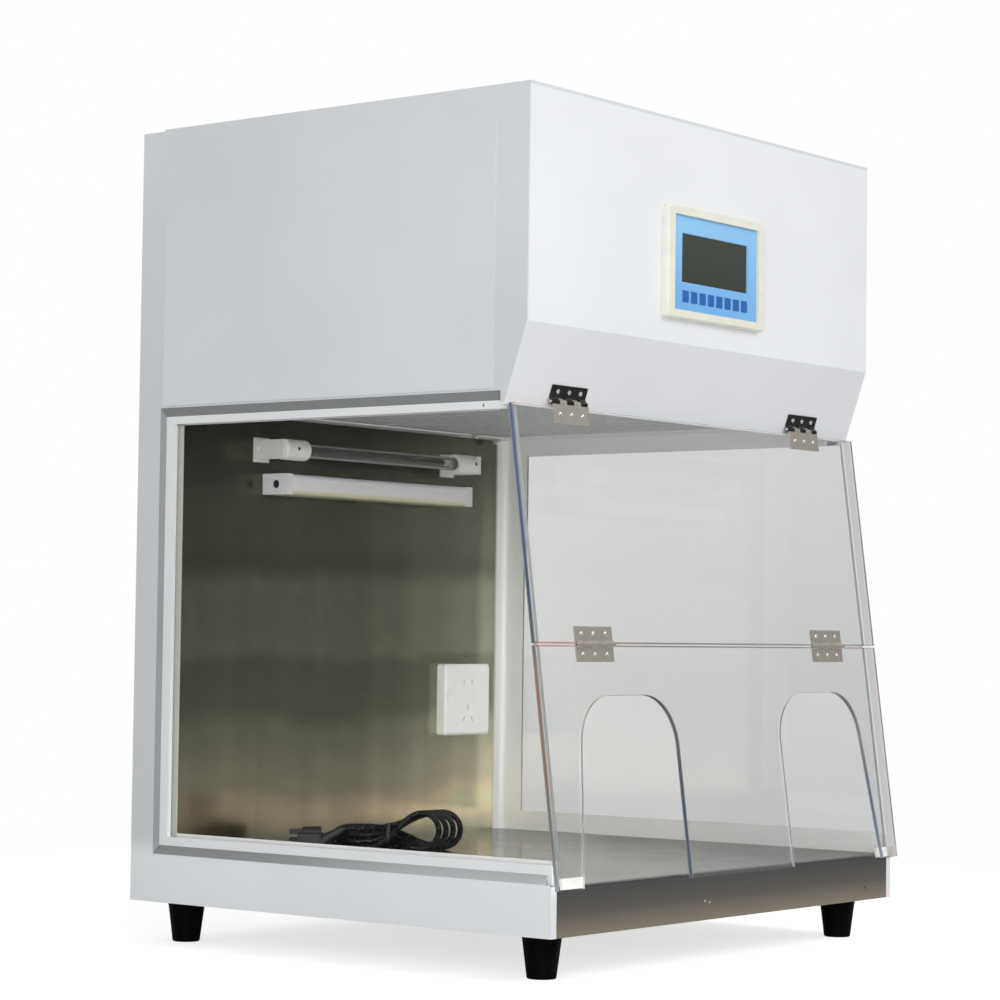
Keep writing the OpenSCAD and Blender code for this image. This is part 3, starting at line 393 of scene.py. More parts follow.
# Painted reflection along a sash's folding edge, from its left end to its right.
FOLD_LINE_REFLECTIONS = [(0.0, srgb(222, 160, 140)), (0.16, srgb(214, 164, 146)),
                (0.30, srgb(150, 152, 150)), (0.62, srgb(158, 162, 156)),
                (0.80, srgb(176, 172, 176)), (1.0, srgb(196, 176, 176))]
# Painted highlight on the end edges near the faces, and painted shade on the faces near the right
# end.
END_HIGHLIGHT_GREY = srgb(214, 218, 220)
RIM_WIDE = 20.6 * MM
RIM_SHADE_TINT = (0.60, 0.595, 0.60)


def clear_sheet(name, tint, facing, edge_stops, smear=0.02, ior=1.49, fold=None, sides=None):
    """Clear sheet: bright faces that show what is behind, and edges that carry colour, which on
    the acrylic sashes is painted reflection.

    tint is one colour, or stops by height. facing is the direction of its broad faces.
    edge_stops colour its edges from foot to top, and sides those at its left and right ends, with
    a painted highlight near the faces; at the right end, painted shade greys the faces beside it.
    fold gives the heights between which a line of painted reflection grows along the sheet's
    folding edge.
    """
    s = Shader(name)
    along = s.add("ShaderNodeVectorMath", {0: s.normal, 1: facing}, operation="DOT_PRODUCT")
    broad = s.span(s.math("ABSOLUTE", along.outputs["Value"]), 0.5, 0.8)
    smudge = s.span(s.noise(9, detail=4), 0.45, 0.75, 0.0, smear)
    height = s.axis(2)
    waver = s.math("MULTIPLY", s.noise(30, (1, 1, 0.4)), 0.12)
    colour = s.ramp(s.math("ADD", height, waver), edge_stops)
    if isinstance(tint, list):
        tint = s.ramp(height, tint)
    # Painted reflection and highlight on the end edges, and painted shade on the faces near the
    # right end.
    if sides:
        ends = s.span(s.math("ABSOLUTE", s.axis(0)), cad_box[1].x - 6 * MM, cad_box[1].x - 3 * MM)
        colour = s.mix(ends, colour, s.ramp(s.math("ADD", height, waver), sides))
        depth = s.add("ShaderNodeVectorMath", {0: s.place, 1: facing}, operation="DOT_PRODUCT")
        core = s.span(depth.outputs["Value"], SASH_DEPTHS[0], SASH_DEPTHS[1], -1, 1, smooth=False)
        pale = s.span(s.math("ABSOLUTE", core), 0.35, 0.95)
        colour = s.mix(pale, colour, END_HIGHLIGHT_GREY)
        inset = s.math("SUBTRACT", cad_box[1].x, s.axis(0))
        tint = s.mix(s.span(inset, RIM_WIDE, RIM_WIDE + 1 * MM, 1, 0), tint, RIM_SHADE_TINT)
    # A line of painted reflection along the folding edge.
    if fold:
        width = s.span(s.axis(0), cad_box[0].x, cad_box[1].x, smooth=False)
        line = s.ramp(s.math("ADD", width, s.math("SUBTRACT", waver, 0.06)), FOLD_LINE_REFLECTIONS)
        level = s.span(s.math("ABSOLUTE", s.axis(2, s.normal)), 0.5, 0.8)
        colour = s.mix(level, colour, line)
        tint = s.mix(s.span(height, *fold), tint, line)
    pane = s.principled(tint, smudge, IOR=ior, Transmission_Weight=1.0)
    edge = s.principled(colour, 0.3, IOR=ior, Transmission_Weight=0.55)
    both = s.add("ShaderNodeMixShader", {0: broad})
    s.tree.links.new(edge, both.inputs[1])
    s.tree.links.new(pane, both.inputs[2])
    return s.end_clear(both.outputs["Shader"])


def tube_glass(name):
    """Clear quartz tube with grey metal vapour rings near its ends."""
    s = Shader(name)
    low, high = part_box("uv_tube")
    along = s.axis(0)
    near = s.math("MAXIMUM", s.span(along, low.x, low.x + 0.02, 1, 0),
                  s.span(along, high.x - 0.02, high.x, 0, 1))
    tint = s.mix(near, srgb(226, 228, 226), srgb(150, 148, 146))
    return s.end_clear(s.principled(tint, s.span(near, 0, 1, 0.04, 0.3), IOR=1.46,
                                    Transmission_Weight=1.0))


def display_window(name):
    """Grey-green liquid crystal window behind gloss film, with a light gap round the cell."""
    s = Shader(name)
    low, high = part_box("display")
    middle = (low + high) / 2
    half = (high - low) / 2
    off = s.add("ShaderNodeVectorMath", {0: s.place, 1: middle}, operation="SUBTRACT")
    off = off.outputs["Vector"]
    gap_x = s.math("SUBTRACT", half.x, s.math("ABSOLUTE", s.axis(0, off)))
    gap_z = s.math("SUBTRACT", half.z, s.math("ABSOLUTE", s.axis(2, off)))
    border = s.math("MINIMUM", gap_x, gap_z)
    dots = s.noise(2400, detail=1)
    cell = s.ramp(dots, [(0.35, srgb(52, 57, 51)), (0.65, srgb(64, 69, 62))])
    fade = s.span(s.axis(2, off), -half.z, half.z, 0.0, 0.35)
    cell = s.mix(fade, cell, srgb(76, 80, 73))
    rim = s.ramp(s.span(border, 0.0, 0.003, smooth=False), [
        (0.0, srgb(28, 36, 44)), (0.30, srgb(28, 36, 44)), (0.36, srgb(190, 205, 214)),
        (0.62, srgb(190, 205, 214)), (0.70, srgb(44, 48, 46)), (1.0, srgb(44, 48, 46))])
    inside = s.span(border, 0.0026, 0.0031)
    return s.end(s.principled(s.mix(inside, rim, cell), 0.2, Specular_IOR_Level=0.25,
                              normal=s.bump(dots, 0.02, 0.0002)))


def blue_film(name):
    """Printed blue panel film, satin, with a fine screen grain: lighter towards the top, and
    nearer a mid blue towards the right.
    """
    s = Shader(name)
    low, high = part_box("panel_face")
    drop = s.span(s.axis(2), low.z, high.z)
    side = s.span(s.axis(0), low.x, high.x)
    grain = s.noise(1800, detail=2)
    tone = s.math("ADD", s.math("MULTIPLY", drop, 0.75), s.math("MULTIPLY", grain, 0.25))
    tint = s.ramp(tone, [(0.1, srgb(116, 182, 240)), (0.9, srgb(150, 210, 252))])
    tint = s.mix(s.math("MULTIPLY", side, 0.35), tint, srgb(132, 192, 246))
    return s.end(s.principled(tint, 0.34, normal=s.bump(grain, 0.05, 0.0002)))


def key_film(name):
    """A dark blue printed key with a lighter rim."""
    s = Shader(name)
    grain = s.noise(1500, detail=2)
    facing = s.math("ABSOLUTE", s.axis(1, s.normal))
    tint = s.ramp(grain, [(0.3, srgb(24, 92, 170)), (0.7, srgb(34, 108, 188))])
    tint = s.mix(s.span(facing, 0.5, 0.98, 1, 0), tint, srgb(96, 160, 222))
    return s.end(s.principled(tint, 0.36, normal=s.bump(grain, 0.04, 0.0002)))


def opal(name, colour, under):
    """Milky diffuser, with painted shade in a darker, warmer colour on the faces that look down.
    """
    s = Shader(name)
    # Painted shade: faces that look down take the darker, warmer under colour.
    down = s.span(s.axis(2, s.normal), -0.6, 0.2, 1, 0)
    flow = s.noise(20, (0.3, 1, 1))
    tint = s.mix(down, s.ramp(flow, [(0.3, shade(colour, 0.97)), (0.7, colour)]), under)
    return s.end(s.principled(tint, 0.32, Subsurface_Weight=0.15, Subsurface_Radius=(4e-3,) * 3,
                              normal=s.bump(s.noise(700), 0.03, 0.0003)))


def circuit_board(name):
    """Green solder resist over a grid of tracks."""
    s = Shader(name)
    track = s.add("ShaderNodeTexBrick", {
        "Vector": s.place, "Scale": 90.0, "Mortar Size": 0.012,
        "Color1": (*srgb(18, 78, 46), 1), "Color2": (*srgb(24, 92, 54), 1),
        "Mortar": (*srgb(120, 150, 70), 1)}).outputs["Color"]
    return s.end(s.principled(track, 0.3, normal=s.bump(s.noise(500), 0.05, 0.0003)))


def paper(name):
    """Pleated glass-fibre paper."""
    s = Shader(name)
    fibre = s.noise(1200, (1, 1, 0.3), detail=5, rough=0.7)
    tint = s.ramp(fibre, [(0.3, srgb(226, 223, 212)), (0.7, srgb(243, 241, 233))])
    return s.end(s.principled(tint, 0.85, normal=s.bump(fibre, 0.25, 0.0006)))


def felt(name):
    """Fibrous prefilter pad."""
    s = Shader(name)
    fibre = s.noise(700, (1, 0.35, 1), detail=6, rough=0.75)
    tint = s.ramp(fibre, [(0.3, srgb(196, 202, 198)), (0.7, srgb(232, 236, 232))])
    return s.end(s.principled(tint, 0.95, Sheen_Weight=0.3, normal=s.bump(fibre, 0.5, 0.001)))


def broad_normal(node):
    """The direction of a node's largest face."""
    return max(nodes[node].data.polygons, key=lambda p: p.area).normal.copy()


SASH_OUT = broad_normal("upper_sash")
if SASH_OUT.y > 0:
    SASH_OUT = -SASH_OUT
SASH_REACH = [v.co.dot(SASH_OUT) for v in nodes["upper_sash"].data.vertices]
SASH_DEPTHS = (min(SASH_REACH), max(SASH_REACH))

SIDE_GREY = srgb(222, 225, 227)
FRONT_WHITE = srgb(240, 242, 245)
# Painted light and shade on the side skins by height: painted light near the foot, painted shade
# from 0.115 m to 0.60 m, fading to the plain side grey by 0.865 m.
SHADED_STRIP_GREY = srgb(213, 216, 218)
SKIN_LIGHT_AND_SHADE = [(0.095, srgb(237, 240, 242)), (0.115, SHADED_STRIP_GREY), (0.60, SHADED_STRIP_GREY),
              (0.865, SIDE_GREY)]

side_paint = powder_coat("side_paint", SIDE_GREY)
# The side skins' paint carries that painted light and shade, and painted shade on the slants into
# the window recesses.
skin_paint_and_shade = powder_coat("skin_paint_and_shade", SKIN_LIGHT_AND_SHADE, dim=bevel_shade)
front_paint = powder_coat("front_paint", FRONT_WHITE, 0.38, dim=fascia_shade)
frame_paint = powder_coat("frame_paint", srgb(236, 238, 240), 0.4)
inner_paint = powder_coat("inner_paint", srgb(205, 207, 208), 0.5)
wall_steel_and_reflections = lining_steel("wall_steel_and_reflections")
floor_steel_and_reflections = work_steel("floor_steel_and_reflections")
deck_steel = plain_metal("deck_steel", (0.93, 0.93, 0.92), 0.4, 0.02, metallic=0.05)
zinc = galvanised("zinc_sheet")
hinge_bright = plain_metal("hinge_bright", srgb(190, 184, 174), 0.34, metallic=0.75)
hinge_dark = plain_metal("hinge_dark", (0.05, 0.048, 0.047), 0.12)
screw_steel = plain_metal("screw_steel", (0.80, 0.80, 0.79), 0.22)
white_plastic = moulded("white_plastic", srgb(246, 246, 242), 0.34)
# The socket's white plastic, made brighter than the other white plastic: painted light for the
# light that reaches it.
socket_plastic_lit = moulded("socket_plastic_lit", srgb(254, 254, 250), 0.32)
cream_plastic = moulded("cream_plastic", srgb(238, 237, 224), 0.36)
black_plastic = moulded("black_plastic", (0.018, 0.018, 0.019), 0.42)
bedding = moulded("glass_bedding", srgb(190, 193, 182), 0.6)
black_rubber = rubber("black_rubber")
black_cable = cable_sheath("black_cable")

# Painted reflections on the sash edges by height; the glass edges keep their own green grey.
UPPER_EDGE_REFLECTIONS = [(0.30, srgb(200, 158, 138)), (0.36, srgb(150, 152, 156)),
              (0.44, srgb(104, 120, 150)), (0.58, srgb(110, 142, 200))]
ARM_EDGE_REFLECTIONS = [(0.08, srgb(168, 176, 186)), (0.18, srgb(112, 132, 164)),
             (0.26, srgb(104, 122, 152)), (0.32, srgb(150, 140, 136)), (0.38, srgb(196, 164, 148))]
END_EDGE_REFLECTIONS = [(0.10, srgb(206, 210, 208)), (0.20, srgb(150, 146, 140)), (0.27, srgb(196, 160, 136)),
             (0.36, srgb(220, 172, 144)), (0.40, srgb(140, 146, 168))]
EDGE_GLASS = [(0.1, srgb(186, 196, 192)), (0.6, srgb(206, 212, 210))]
SASH_TINT = (0.955, 0.96, 0.965, 1)
fold_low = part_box("lower_sash")[1].z
fold_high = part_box("upper_sash")[0].z
upper_acrylic_and_reflections = clear_sheet("upper_acrylic_and_reflections", SASH_TINT, SASH_OUT, UPPER_EDGE_REFLECTIONS, sides=UPPER_EDGE_REFLECTIONS,
                            fold=(fold_high + 2.2 * MM, fold_high + 1.0 * MM))
lower_acrylic_and_reflections = clear_sheet("lower_acrylic_and_reflections", SASH_TINT, SASH_OUT, ARM_EDGE_REFLECTIONS, sides=END_EDGE_REFLECTIONS,
                            fold=(fold_low - 2.2 * MM, fold_low - 1.0 * MM))
LEFT_TINT = (0.93, 0.94, 0.93, 1)
# Painted shade through the right glass: far darker than the left glass, and darkest low down.
RIGHT_GLASS_SHADE = [(0.12, (0.62, 0.62, 0.622)), (0.30, (0.68, 0.68, 0.682)),
               (0.52, (0.76, 0.76, 0.762))]
left_glass = clear_sheet("left_glass", LEFT_TINT, Vector((1, 0, 0)), EDGE_GLASS, 0.01, 1.46)
right_glass_and_shade = clear_sheet("right_glass_and_shade", RIGHT_GLASS_SHADE, Vector((1, 0, 0)), EDGE_GLASS, 0.01, 1.46)

LOOKS = {
    "base_pan": side_paint, "work_surface": floor_steel_and_reflections, "left_side_skin": skin_paint_and_shade,
    "right_side_skin": skin_paint_and_shade, "back_panel": side_paint, "roof_panel": side_paint,
    "front_cover": front_paint, "left_service_panel": side_paint,
    "right_service_panel": side_paint, "chamber_liner": wall_steel_and_reflections, "filter_deck": deck_steel,
    "diffuser_screen": inner_paint,
    "filter_frame": plain_metal("filter_aluminium", (0.74, 0.75, 0.77), 0.35),
    "filter_pleats": paper("filter_paper"), "blower_plate": zinc, "blower_casing": zinc,
    "blower_motor": moulded("motor_enamel", (0.05, 0.052, 0.058), 0.5, 500, 0.15),
    "motor_shaft": plain_metal("ground_steel", (0.76, 0.76, 0.76), 0.18),
    "impeller": moulded("impeller_enamel", (0.035, 0.035, 0.038), 0.55, 600, 0.12),
    "intake_grille": side_paint, "prefilter_pad": felt("prefilter_felt"),
    "left_window_frame": frame_paint, "right_window_frame": frame_paint,
    "left_window_glass": left_glass, "right_window_glass": right_glass_and_shade,
    "panel_bezel": cream_plastic, "panel_face": blue_film("panel_film"),
    "display": display_window("display_window"), "control_board": circuit_board("circuit_board"),
    "mains_inlet": black_plastic, "lamp_ballast": white_plastic,
    "uv_tube": tube_glass("tube_quartz"), "uv_holder_left": white_plastic,
    "uv_holder_right": white_plastic,
    "batten_body": opal("batten_white", srgb(240, 238, 246), srgb(214, 208, 178)),
    "batten_cover": opal("batten_cover", srgb(246, 244, 250), srgb(226, 220, 190)),
    "socket_outlet": socket_plastic_lit, "socket_back_box": zinc,
    "upper_sash": upper_acrylic_and_reflections, "lower_sash": lower_acrylic_and_reflections,
    "upper_hinge_fixed_leaves": hinge_dark, "upper_hinge_swing_leaves": hinge_bright,
    "upper_hinge_pins": screw_steel, "mid_hinge_upper_leaves": hinge_bright,
    "mid_hinge_lower_leaves": hinge_bright, "mid_hinge_pins": screw_steel,
    "sash_rests": white_plastic, "rubber_feet": black_rubber, "mains_lead": black_cable,
    "lead_connector": black_plastic, "lead_plug": black_plastic,
}
key_blue = key_film("key_film")
for name, node in nodes.items():
    look = LOOKS.get(name, key_blue)
    node.data.materials.clear()
    node.data.materials.append(look)


# ---- Mains lead ----

LEAD_D = 6.5 * MM
FOLD_R = 3.03 * LEAD_D
TURNS = 4
TURN_PITCH = LEAD_D + 0.7 * MM
BACK_INSET = 20 * MM
HANK_BACK = 208.5 * MM
WORK_Z = 96 * MM
HANK_AT = Vector((-23.5 * MM, cad_box[1].y - BACK_INSET - HANK_BACK, WORK_Z))
HANK_TURN = math.radians(38)
HANK_RUN = 100 * MM
HANK_TALL = 2 * FOLD_R + LEAD_D
HANK_WIDE = (TURNS - 1) * TURN_PITCH + LEAD_D
REAR_Y = HANK_RUN + HANK_TALL / 2
END_Y = REAR_Y + math.sqrt((HANK_TALL / 2) ** 2 - FOLD_R ** 2)
FOLD_STEP = 8 * MM
TAIL = 5 * MM
TIE_SHARE = 0.62
TIE_SLACK = 0.5 * MM
on_hank = Matrix.Translation(HANK_AT) @ Matrix.Rotation(HANK_TURN, 4, "Z")


def sag(turn):
    """How far a turn's front fold lies behind the foremost one's."""
    return (TURNS - 1 - turn) * FOLD_STEP


def run_point(turn, side, share):
    """A point of a run: side 1 is the upper run at the front and the left one at the rear."""
    offset = (turn - (TURNS - 1) / 2) * TURN_PITCH
    eased = share * share * (3 - 2 * share)
    twist = math.sin(eased * math.pi / 2)
    x = offset * math.cos(eased * math.pi / 2) - side * FOLD_R * twist ** 2
    z = (1 - twist) * (HANK_TALL / 2 + side * FOLD_R) + twist * (HANK_WIDE / 2 + offset)
    return Vector((x, HANK_TALL / 2 + share * HANK_RUN, z))


def hank_points():
    """The lead's centreline from its connector to its plug, in the hank's own frame."""
    steps, bend = 24, 14
    first, last = HANK_WIDE - LEAD_D / 2, LEAD_D / 2
    points = [Vector((-FOLD_R, END_Y + TAIL, first - 1.6 * MM)),
              Vector((-FOLD_R, END_Y, first - 0.3 * MM)),
              Vector((-FOLD_R, (END_Y + REAR_Y) / 2, first))]
    for turn in reversed(range(TURNS)):
        for i in range(steps + 1):
            share = 1 - i / steps
            point = run_point(turn, 1, share)
            point.y += sag(turn) * (1 - share)
            points.append(point)
        for i in range(1, bend):
            angle = math.pi * i / bend
            point = run_point(turn, 1, 0)
            point.y = HANK_TALL / 2 + sag(turn) - FOLD_R * math.sin(angle)
            point.z = HANK_TALL / 2 + FOLD_R * math.cos(angle)
            points.append(point)
        for i in range(steps + 1):
            point = run_point(turn, -1, i / steps)
            point.y += sag(turn) * (1 - i / steps)
            points.append(point)
        if turn:
            for i in range(1, bend):
                share = i / bend
                eased = share * share * (3 - 2 * share)
                angle = math.pi * share
                level = run_point(turn, -1, 1).z - TURN_PITCH * eased
                points.append(Vector((FOLD_R * math.cos(angle),
                                      REAR_Y + FOLD_R * math.sin(angle), level)))
    points.append(Vector((FOLD_R, (END_Y + REAR_Y) / 2, last + 0.1 * MM)))
    points.append(Vector((FOLD_R, END_Y, last + 0.7 * MM)))
    points.append(Vector((FOLD_R, END_Y + TAIL, last + 2.0 * MM)))
    return points


def tube_along(name, points, radius, material, body):
    """A round tube on a smooth line of points."""
    data = bpy.data.curves.new(name, "CURVE")
    data.dimensions = "3D"
    data.bevel_depth = radius
    data.bevel_resolution = 5
    data.use_fill_caps = True
    spline = data.splines.new("POLY")
    spline.points.add(len(points) - 1)
    for point, place in zip(spline.points, points):
        point.co = (*place, 1)
    spline.use_smooth = True
    tube = bpy.data.objects.new(name, data)
    data.materials.append(material)
    scene.collection.objects.link(tube)
    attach(tube, body)
    return tube


def make_lead():
    """The folded lead, and the twist tie round it."""
    points = [on_hank @ p for p in hank_points()]
    lead = tube_along("lead_cord", points, LEAD_D / 2, black_cable, "cabinet")
    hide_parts("mains_lead")
    tie = make_tie()


def make_tie():
    """A flat tie round all the runs, part of the way to the rear folds."""
    around = []
    corners = 16
    reach = LEAD_D / 2 + TIE_SLACK
    for side in (1, -1):
        for turn in range(TURNS):
            own = (TIE_SHARE * HANK_RUN - sag(turn)) / (HANK_RUN - sag(turn))
            centre = run_point(turn, side, own)
            for i in range(corners):
                angle = 2 * math.pi * i / corners
                around.append((centre.x + reach * math.cos(angle),
                               max(0.3 * MM, centre.z + reach * math.sin(angle))))
    loop = hull_2d(around)
    middle = Vector((sum(p[0] for p in loop), sum(p[1] for p in loop))) / len(loop)
    y = HANK_TALL / 2 + TIE_SHARE * HANK_RUN
    mesh = bmesh.new()
    rings = []
    for shift, grow in ((-2.2, 0.0), (-1.8, 0.5), (1.8, 0.5), (2.2, 0.0)):
        ring = []
        for p in loop:
            out = (Vector(p) - middle).normalized() * grow * MM
            spot = Vector((p[0] + out.x, y + shift * MM, max(0.1 * MM, p[1] + out.y)))
            ring.append(mesh.verts.new(on_hank @ spot))
        rings.append(ring)
    join_rings(mesh, rings)
    return add_mesh("lead_tie", mesh, black_plastic, "cabinet", smooth=True)


def hull_2d(points):
    """The outer loop of flat points, anticlockwise."""
    def half(ordered):
        line = []
        for p in ordered:
            while len(line) > 1 and ((line[-1][0] - line[-2][0]) * (p[1] - line[-2][1])
                                     - (line[-1][1] - line[-2][1]) * (p[0] - line[-2][0])) <= 0:
                line.pop()
            line.append(p)
        return line[:-1]
    ordered = sorted(set(points))
    return half(ordered) + half(ordered[::-1])


def add_ring(mesh, place, radius, height, sides):
    """A ring of corners round a place's own Z axis."""
    return [mesh.verts.new(place @ Vector((
        radius * math.cos(2 * math.pi * i / sides),
        radius * math.sin(2 * math.pi * i / sides), height))) for i in range(sides)]


def join_rings(mesh, rings):
    """The faces between each ring and the next."""
    for a, b in zip(rings, rings[1:]):
        for i in range(len(a)):
            j = (i + 1) % len(a)
            mesh.faces.new((a[i], a[j], b[j], b[i]))


def add_mesh(name, mesh, material, body, smooth=False):
    """Turns a bmesh into a piece that rides on a body."""
    bmesh.ops.recalc_face_normals(mesh, faces=mesh.faces[:])
    data = bpy.data.meshes.new(name)
    mesh.to_mesh(data)
    mesh.free()
    for face in data.polygons:
        face.use_smooth = smooth
    piece = bpy.data.objects.new(name, data)
    data.materials.append(material)
    scene.collection.objects.link(piece)
    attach(piece, body)
    return piece


make_lead()


# ---- Screws and other small pieces ----

def frame_of(normal, up=UP):
    """Axes with Z along normal and Y as near up as can be."""
    z = normal.normalized()
    x = up.cross(z).normalized()
    y = z.cross(x)
    return Matrix((x, y, z)).transposed().to_4x4()


def add_screw(mesh, at, normal, radius, height, spin):
    """A pan-head screw with a cross recess, on a surface at a point, turned by spin."""
    place = Matrix.Translation(at) @ frame_of(normal) @ Matrix.Rotation(spin, 4, "Z")
    sides = 24
    profile = [(1.0, 0.0), (1.0, 0.35), (0.93, 0.62), (0.78, 0.84), (0.55, 1.0), (0.46, 1.0)]
    rings = [add_ring(mesh, place, radius * reach, height * rise, sides)
             for reach, rise in profile]
    star = []
    for i in range(sides):
        step = i % 6
        reach = 0.46 if step == 0 else (0.16 if step in (2, 3, 4) else 0.44)
        star.append(mesh.verts.new(place @ Vector((
            radius * reach * math.cos(2 * math.pi * i / sides),
            radius * reach * math.sin(2 * math.pi * i / sides),
            height * (0.45 if step < 2 else 0.97)))))
    rings.append(star)
    join_rings(mesh, rings)
    foot = mesh.verts.new(place @ Vector((0, 0, height * 0.4)))
    for i in range(sides):
        mesh.faces.new((star[i], star[(i + 1) % sides], foot))
    mesh.faces.new(rings[0][::-1])


LEVEL_WITH = 0.999
LEAF_AREA = 2e-5
HINGE_SCREW_R = 2.6 * MM
HINGE_SCREW_TALL = 1.1 * MM
HINGE_SCREW_STEP = 0.32


def leaf_plates(node):
    """The flat front of each of a node's two hinge leaves: corner ranges on its own axes."""
    data = nodes[node].data
    normal = broad_normal(node)
    if normal.y > 0:
        normal = -normal
    axes = frame_of(normal)
    level = max(data.vertices[i].co.dot(normal) for p in data.polygons
                if p.normal.dot(normal) > LEVEL_WITH and p.area > LEAF_AREA for i in p.vertices)
    plates = []
    for side in (-1, 1):
        spots = [axes.inverted() @ data.vertices[i].co for p in data.polygons
                 if p.normal.dot(normal) > LEVEL_WITH for i in p.vertices
                 if abs(data.vertices[i].co.dot(normal) - level) < 0.2 * MM
                 and data.vertices[i].co.x * side > 0]
        plates.append((min(s.x for s in spots), max(s.x for s in spots),
                       min(s.y for s in spots), max(s.y for s in spots), level))
    return plates, axes, normal


def screw_leaves(node, body, share, name):
    """Three screws in each leaf of a node, at a share of its height."""
    plates, axes, normal = leaf_plates(node)
    mesh = bmesh.new()
    for x0, x1, y0, y1, level in plates:
        for i in (-1, 0, 1):
            x = (x0 + x1) / 2 + i * (x1 - x0) * HINGE_SCREW_STEP
            at = Vector((x, y0 + (y1 - y0) * share, level))
            add_screw(mesh, axes @ at, normal, HINGE_SCREW_R, HINGE_SCREW_TALL,
                      random.uniform(0, math.pi))
    piece = add_mesh(name, mesh, screw_steel, body)
    return piece


screw_leaves("upper_hinge_fixed_leaves", "cabinet", 0.5, "fascia_hinge_screws")
screw_leaves("upper_hinge_swing_leaves", "upper_sash_leaf", 0.42, "sash_hinge_screws")
screw_leaves("mid_hinge_upper_leaves", "upper_sash_leaf", 0.5, "fold_screws_upper")
screw_leaves("mid_hinge_lower_leaves", "lower_sash_leaf", 0.5, "fold_screws_lower")


STUD_UP = Vector((0.2, 0.9, 0.4))


def add_stud(mesh, at, normal, radius, height, sides=24):
    """A plain round head, or a bolt head with six sides, its rim slightly rounded."""
    place = Matrix.Translation(at) @ frame_of(normal, STUD_UP)
    rings = [add_ring(mesh, place, radius * reach, height * rise, sides)
             for reach, rise in ((1.0, 0.0), (1.0, 0.75), (0.9, 1.0))]
    join_rings(mesh, rings)
    mesh.faces.new(rings[0][::-1])
    mesh.faces.new(rings[-1])


RAIL_SCREW_BACK = 93.5 * MM
RAIL_SCREW_DROP = 9 * MM
RAIL_SCREW_R = 1.7 * MM
RAIL_SCREW_TALL = 0.8 * MM
RAIL_SCREW_SPIN = 0.4
BOLTS_MM = ((194, 230.4, 1.5), (275.7, 261.6, 0))
HOLDER_CAP_R = 12 * MM
HOLDER_SCREW_INSETS = (23.5 * MM, 14.5 * MM)
PINS_MM = ((-56.5, 65.0), (-48.0, 63.4))
PLUG_MM = ((269.0, 59.2),)
BEDDING_WIDE = 14 * MM
BEDDING_THICK = 0.14 * MM


def make_frame_screws():
    """One small screw at the front end of each window frame's top rail."""
    mesh = bmesh.new()
    low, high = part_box("left_window_frame")
    for side, face in ((-1, low.x), (1, -low.x)):
        at = Vector((face, low.y + RAIL_SCREW_BACK, high.z - RAIL_SCREW_DROP))
        add_screw(mesh, at, Vector((side, 0, 0)), RAIL_SCREW_R, RAIL_SCREW_TALL,
                  RAIL_SCREW_SPIN)
    add_mesh("frame_screws", mesh, screw_steel, "cabinet")


def make_ceiling_bolts():
    """Two bolt heads under the ceiling, near its rear right corner."""
    mesh = bmesh.new()
    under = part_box("filter_deck")[0].z
    for x, y, up in BOLTS_MM:
        at = Vector((x * MM, y * MM, under + up * MM))
        add_stud(mesh, at, -UP, 4.5 * MM, 6 * MM, 6)
    add_mesh("ceiling_bolts", mesh, screw_steel, "cabinet")


def make_holder_dots():
    """A dark screw in the face of each lamp holder."""
    mesh = bmesh.new()
    out = Vector((0, -1, 0.1)).normalized()
    left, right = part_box("uv_holder_left"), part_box("uv_holder_right")
    places = (left[0].x + HOLDER_SCREW_INSETS[0], right[1].x - HOLDER_SCREW_INSETS[1])
    for x, (low, high) in zip(places, (left, right)):
        axis = Vector((x, low.y + HOLDER_CAP_R, (low.z + high.z) / 2))
        add_stud(mesh, axis + out * (HOLDER_CAP_R - 0.1 * MM), out, 1.9 * MM, 0.6 * MM)
    add_mesh("holder_screws", mesh, black_plastic, "cabinet")


def make_batten_plug():
    """The dark blanking plug in the hole of the batten's left end cap."""
    mesh = bmesh.new()
    low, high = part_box("batten_body")
    at = Vector((low.x + 1.9 * MM, (low.y + high.y) / 2 - 2 * MM, (low.z + high.z) / 2))
    add_stud(mesh, at, Vector((-1, 0, 0)), 4.8 * MM, 1.2 * MM)
    add_mesh("batten_plug", mesh, black_plastic, "cabinet")


def make_apron_pins():
    """Three tiny pins in the apron: a bright pair near the middle and a dark one at the right."""
    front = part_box("work_surface")[0].y
    for name, spots, look in (("apron_pins", PINS_MM, screw_steel),
                              ("apron_plug", PLUG_MM, black_plastic)):
        mesh = bmesh.new()
        for x, z in spots:
            add_stud(mesh, Vector((x * MM, front, z * MM)), Vector((0, -1, 0)), 1.3 * MM, 0.3 * MM)
        add_mesh(name, mesh, look, "cabinet")


def make_bedding():
    """The pale bedding strip behind each side glass, along its rear edge."""
    mesh = bmesh.new()
    low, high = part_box("left_window_glass")
    for side in (-1, 1):
        near = high.x if side < 0 else -high.x
        middle = Vector((near - side * 0.15 * MM, high.y - BEDDING_WIDE / 2, (low.z + high.z) / 2))
        strip = bmesh.ops.create_cube(mesh, size=1)["verts"]
        size = (BEDDING_THICK, BEDDING_WIDE - 2 * MM, high.z - low.z - 2 * MM)
        bmesh.ops.scale(mesh, vec=size, verts=strip)
        bmesh.ops.translate(mesh, vec=middle, verts=strip)
    add_mesh("glass_bedding", mesh, bedding, "cabinet")


make_frame_screws()
make_ceiling_bolts()
make_holder_dots()
make_batten_plug()
make_apron_pins()
make_bedding()


# ---- Stage, lamps and world ----

FLOOR_GREY = (0.62, 0.62, 0.62)
FLOOR_GLOW = 0.68
FLOOR_REACH = 1.3


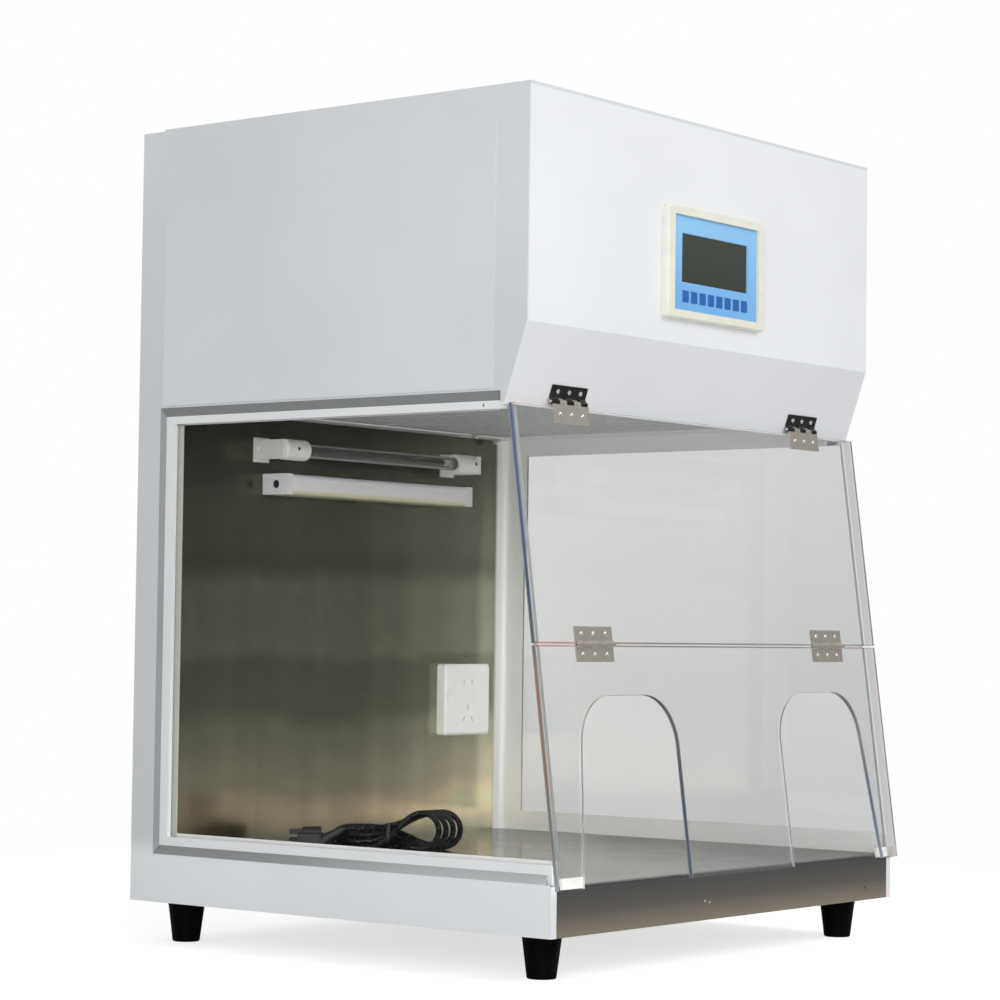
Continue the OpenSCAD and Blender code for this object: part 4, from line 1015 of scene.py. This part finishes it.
def make_stage():
    """A wide pale floor that shows white to the camera and keeps the object's shadow."""
    mesh = bmesh.new()
    bmesh.ops.create_grid(mesh, x_segments=1, y_segments=1, size=FLOOR_REACH)
    data = bpy.data.meshes.new("floor")
    mesh.to_mesh(data)
    mesh.free()
    floor = bpy.data.objects.new("floor", data)
    scene.collection.objects.link(floor)
    s = Shader("floor")
    path = s.add("ShaderNodeLightPath").outputs
    lit = s.add("ShaderNodeBsdfDiffuse", {"Color": (*FLOOR_GREY, 1)}).outputs["BSDF"]
    glow = s.add("ShaderNodeEmission", {"Strength": FLOOR_GLOW}).outputs["Emission"]
    bright = s.add("ShaderNodeAddShader", {0: lit, 1: glow}).outputs["Shader"]
    seen = s.math("MAXIMUM", path["Is Camera Ray"], path["Is Transmission Ray"])
    mixed = s.add("ShaderNodeMixShader", {0: seen, 1: lit, 2: bright})
    data.materials.append(s.end(mixed.outputs["Shader"]))


class WorldShader(Shader):
    """The same short calls on the world's node tree."""

    def __init__(self, world):
        world.use_nodes = True
        self.tree = world.node_tree
        self.tree.nodes.clear()
        self.out = self.add("ShaderNodeOutputWorld")
        self.place = self.add("ShaderNodeTexCoord").outputs["Generated"]


AMBIENT = 0.52
BACKDROP_WAY = Vector((0.79, 0.61, 0.0))


def make_world():
    """White to the camera and through glass.

    Metal sees a white backdrop and a darker studio, softly lit to the right and overhead.
    """
    world = bpy.data.worlds.new("studio")
    scene.world = world
    s = WorldShader(world)
    path = s.add("ShaderNodeLightPath").outputs
    ahead = s.add("ShaderNodeVectorMath", {0: s.place, 1: BACKDROP_WAY},
                  operation="DOT_PRODUCT").outputs["Value"]
    backdrop = s.span(ahead, 0.45, 0.85)
    rightward = s.span(s.axis(0), -0.2, 0.5, 0.02, 0.34)
    overhead = s.span(s.axis(2), 0.10, 0.80, 0.0, 0.75)
    studio = s.math("MAXIMUM", backdrop, s.math("MAXIMUM", rightward, overhead))
    mirrored = s.math("GREATER_THAN", path["Glossy Depth"], 0.5)
    scattered = s.math("GREATER_THAN", path["Diffuse Depth"], 0.5)
    level = s.add("ShaderNodeMix", {0: mirrored, 2: 1.0, 3: studio},
                  data_type="FLOAT").outputs[0]
    level = s.add("ShaderNodeMix", {0: scattered, 2: level, 3: AMBIENT},
                  data_type="FLOAT").outputs[0]
    glow = s.add("ShaderNodeBackground", {"Color": (1, 1, 1, 1), "Strength": level})
    s.tree.links.new(glow.outputs["Background"], s.out.inputs["Surface"])


def add_lamp(name, at, aim, size, power):
    """A square soft box, its side in metres and its power in watts."""
    data = bpy.data.lights.new(name, "AREA")
    data.size = size
    data.energy = power
    lamp = bpy.data.objects.new(name, data)
    lamp.location = at
    lamp.rotation_euler = (Vector(aim) - Vector(at)).to_track_quat("-Z", "Y").to_euler()
    scene.collection.objects.link(lamp)


make_stage()
make_world()
add_lamp("key_lamp", at=(1.4, -3.2, 2.9), aim=(0, 0, 0.5), size=1.8, power=46)
add_lamp("side_lamp", at=(-2.8, -2.2, 0.75), aim=(0, 0, 0.35), size=2.0, power=52)
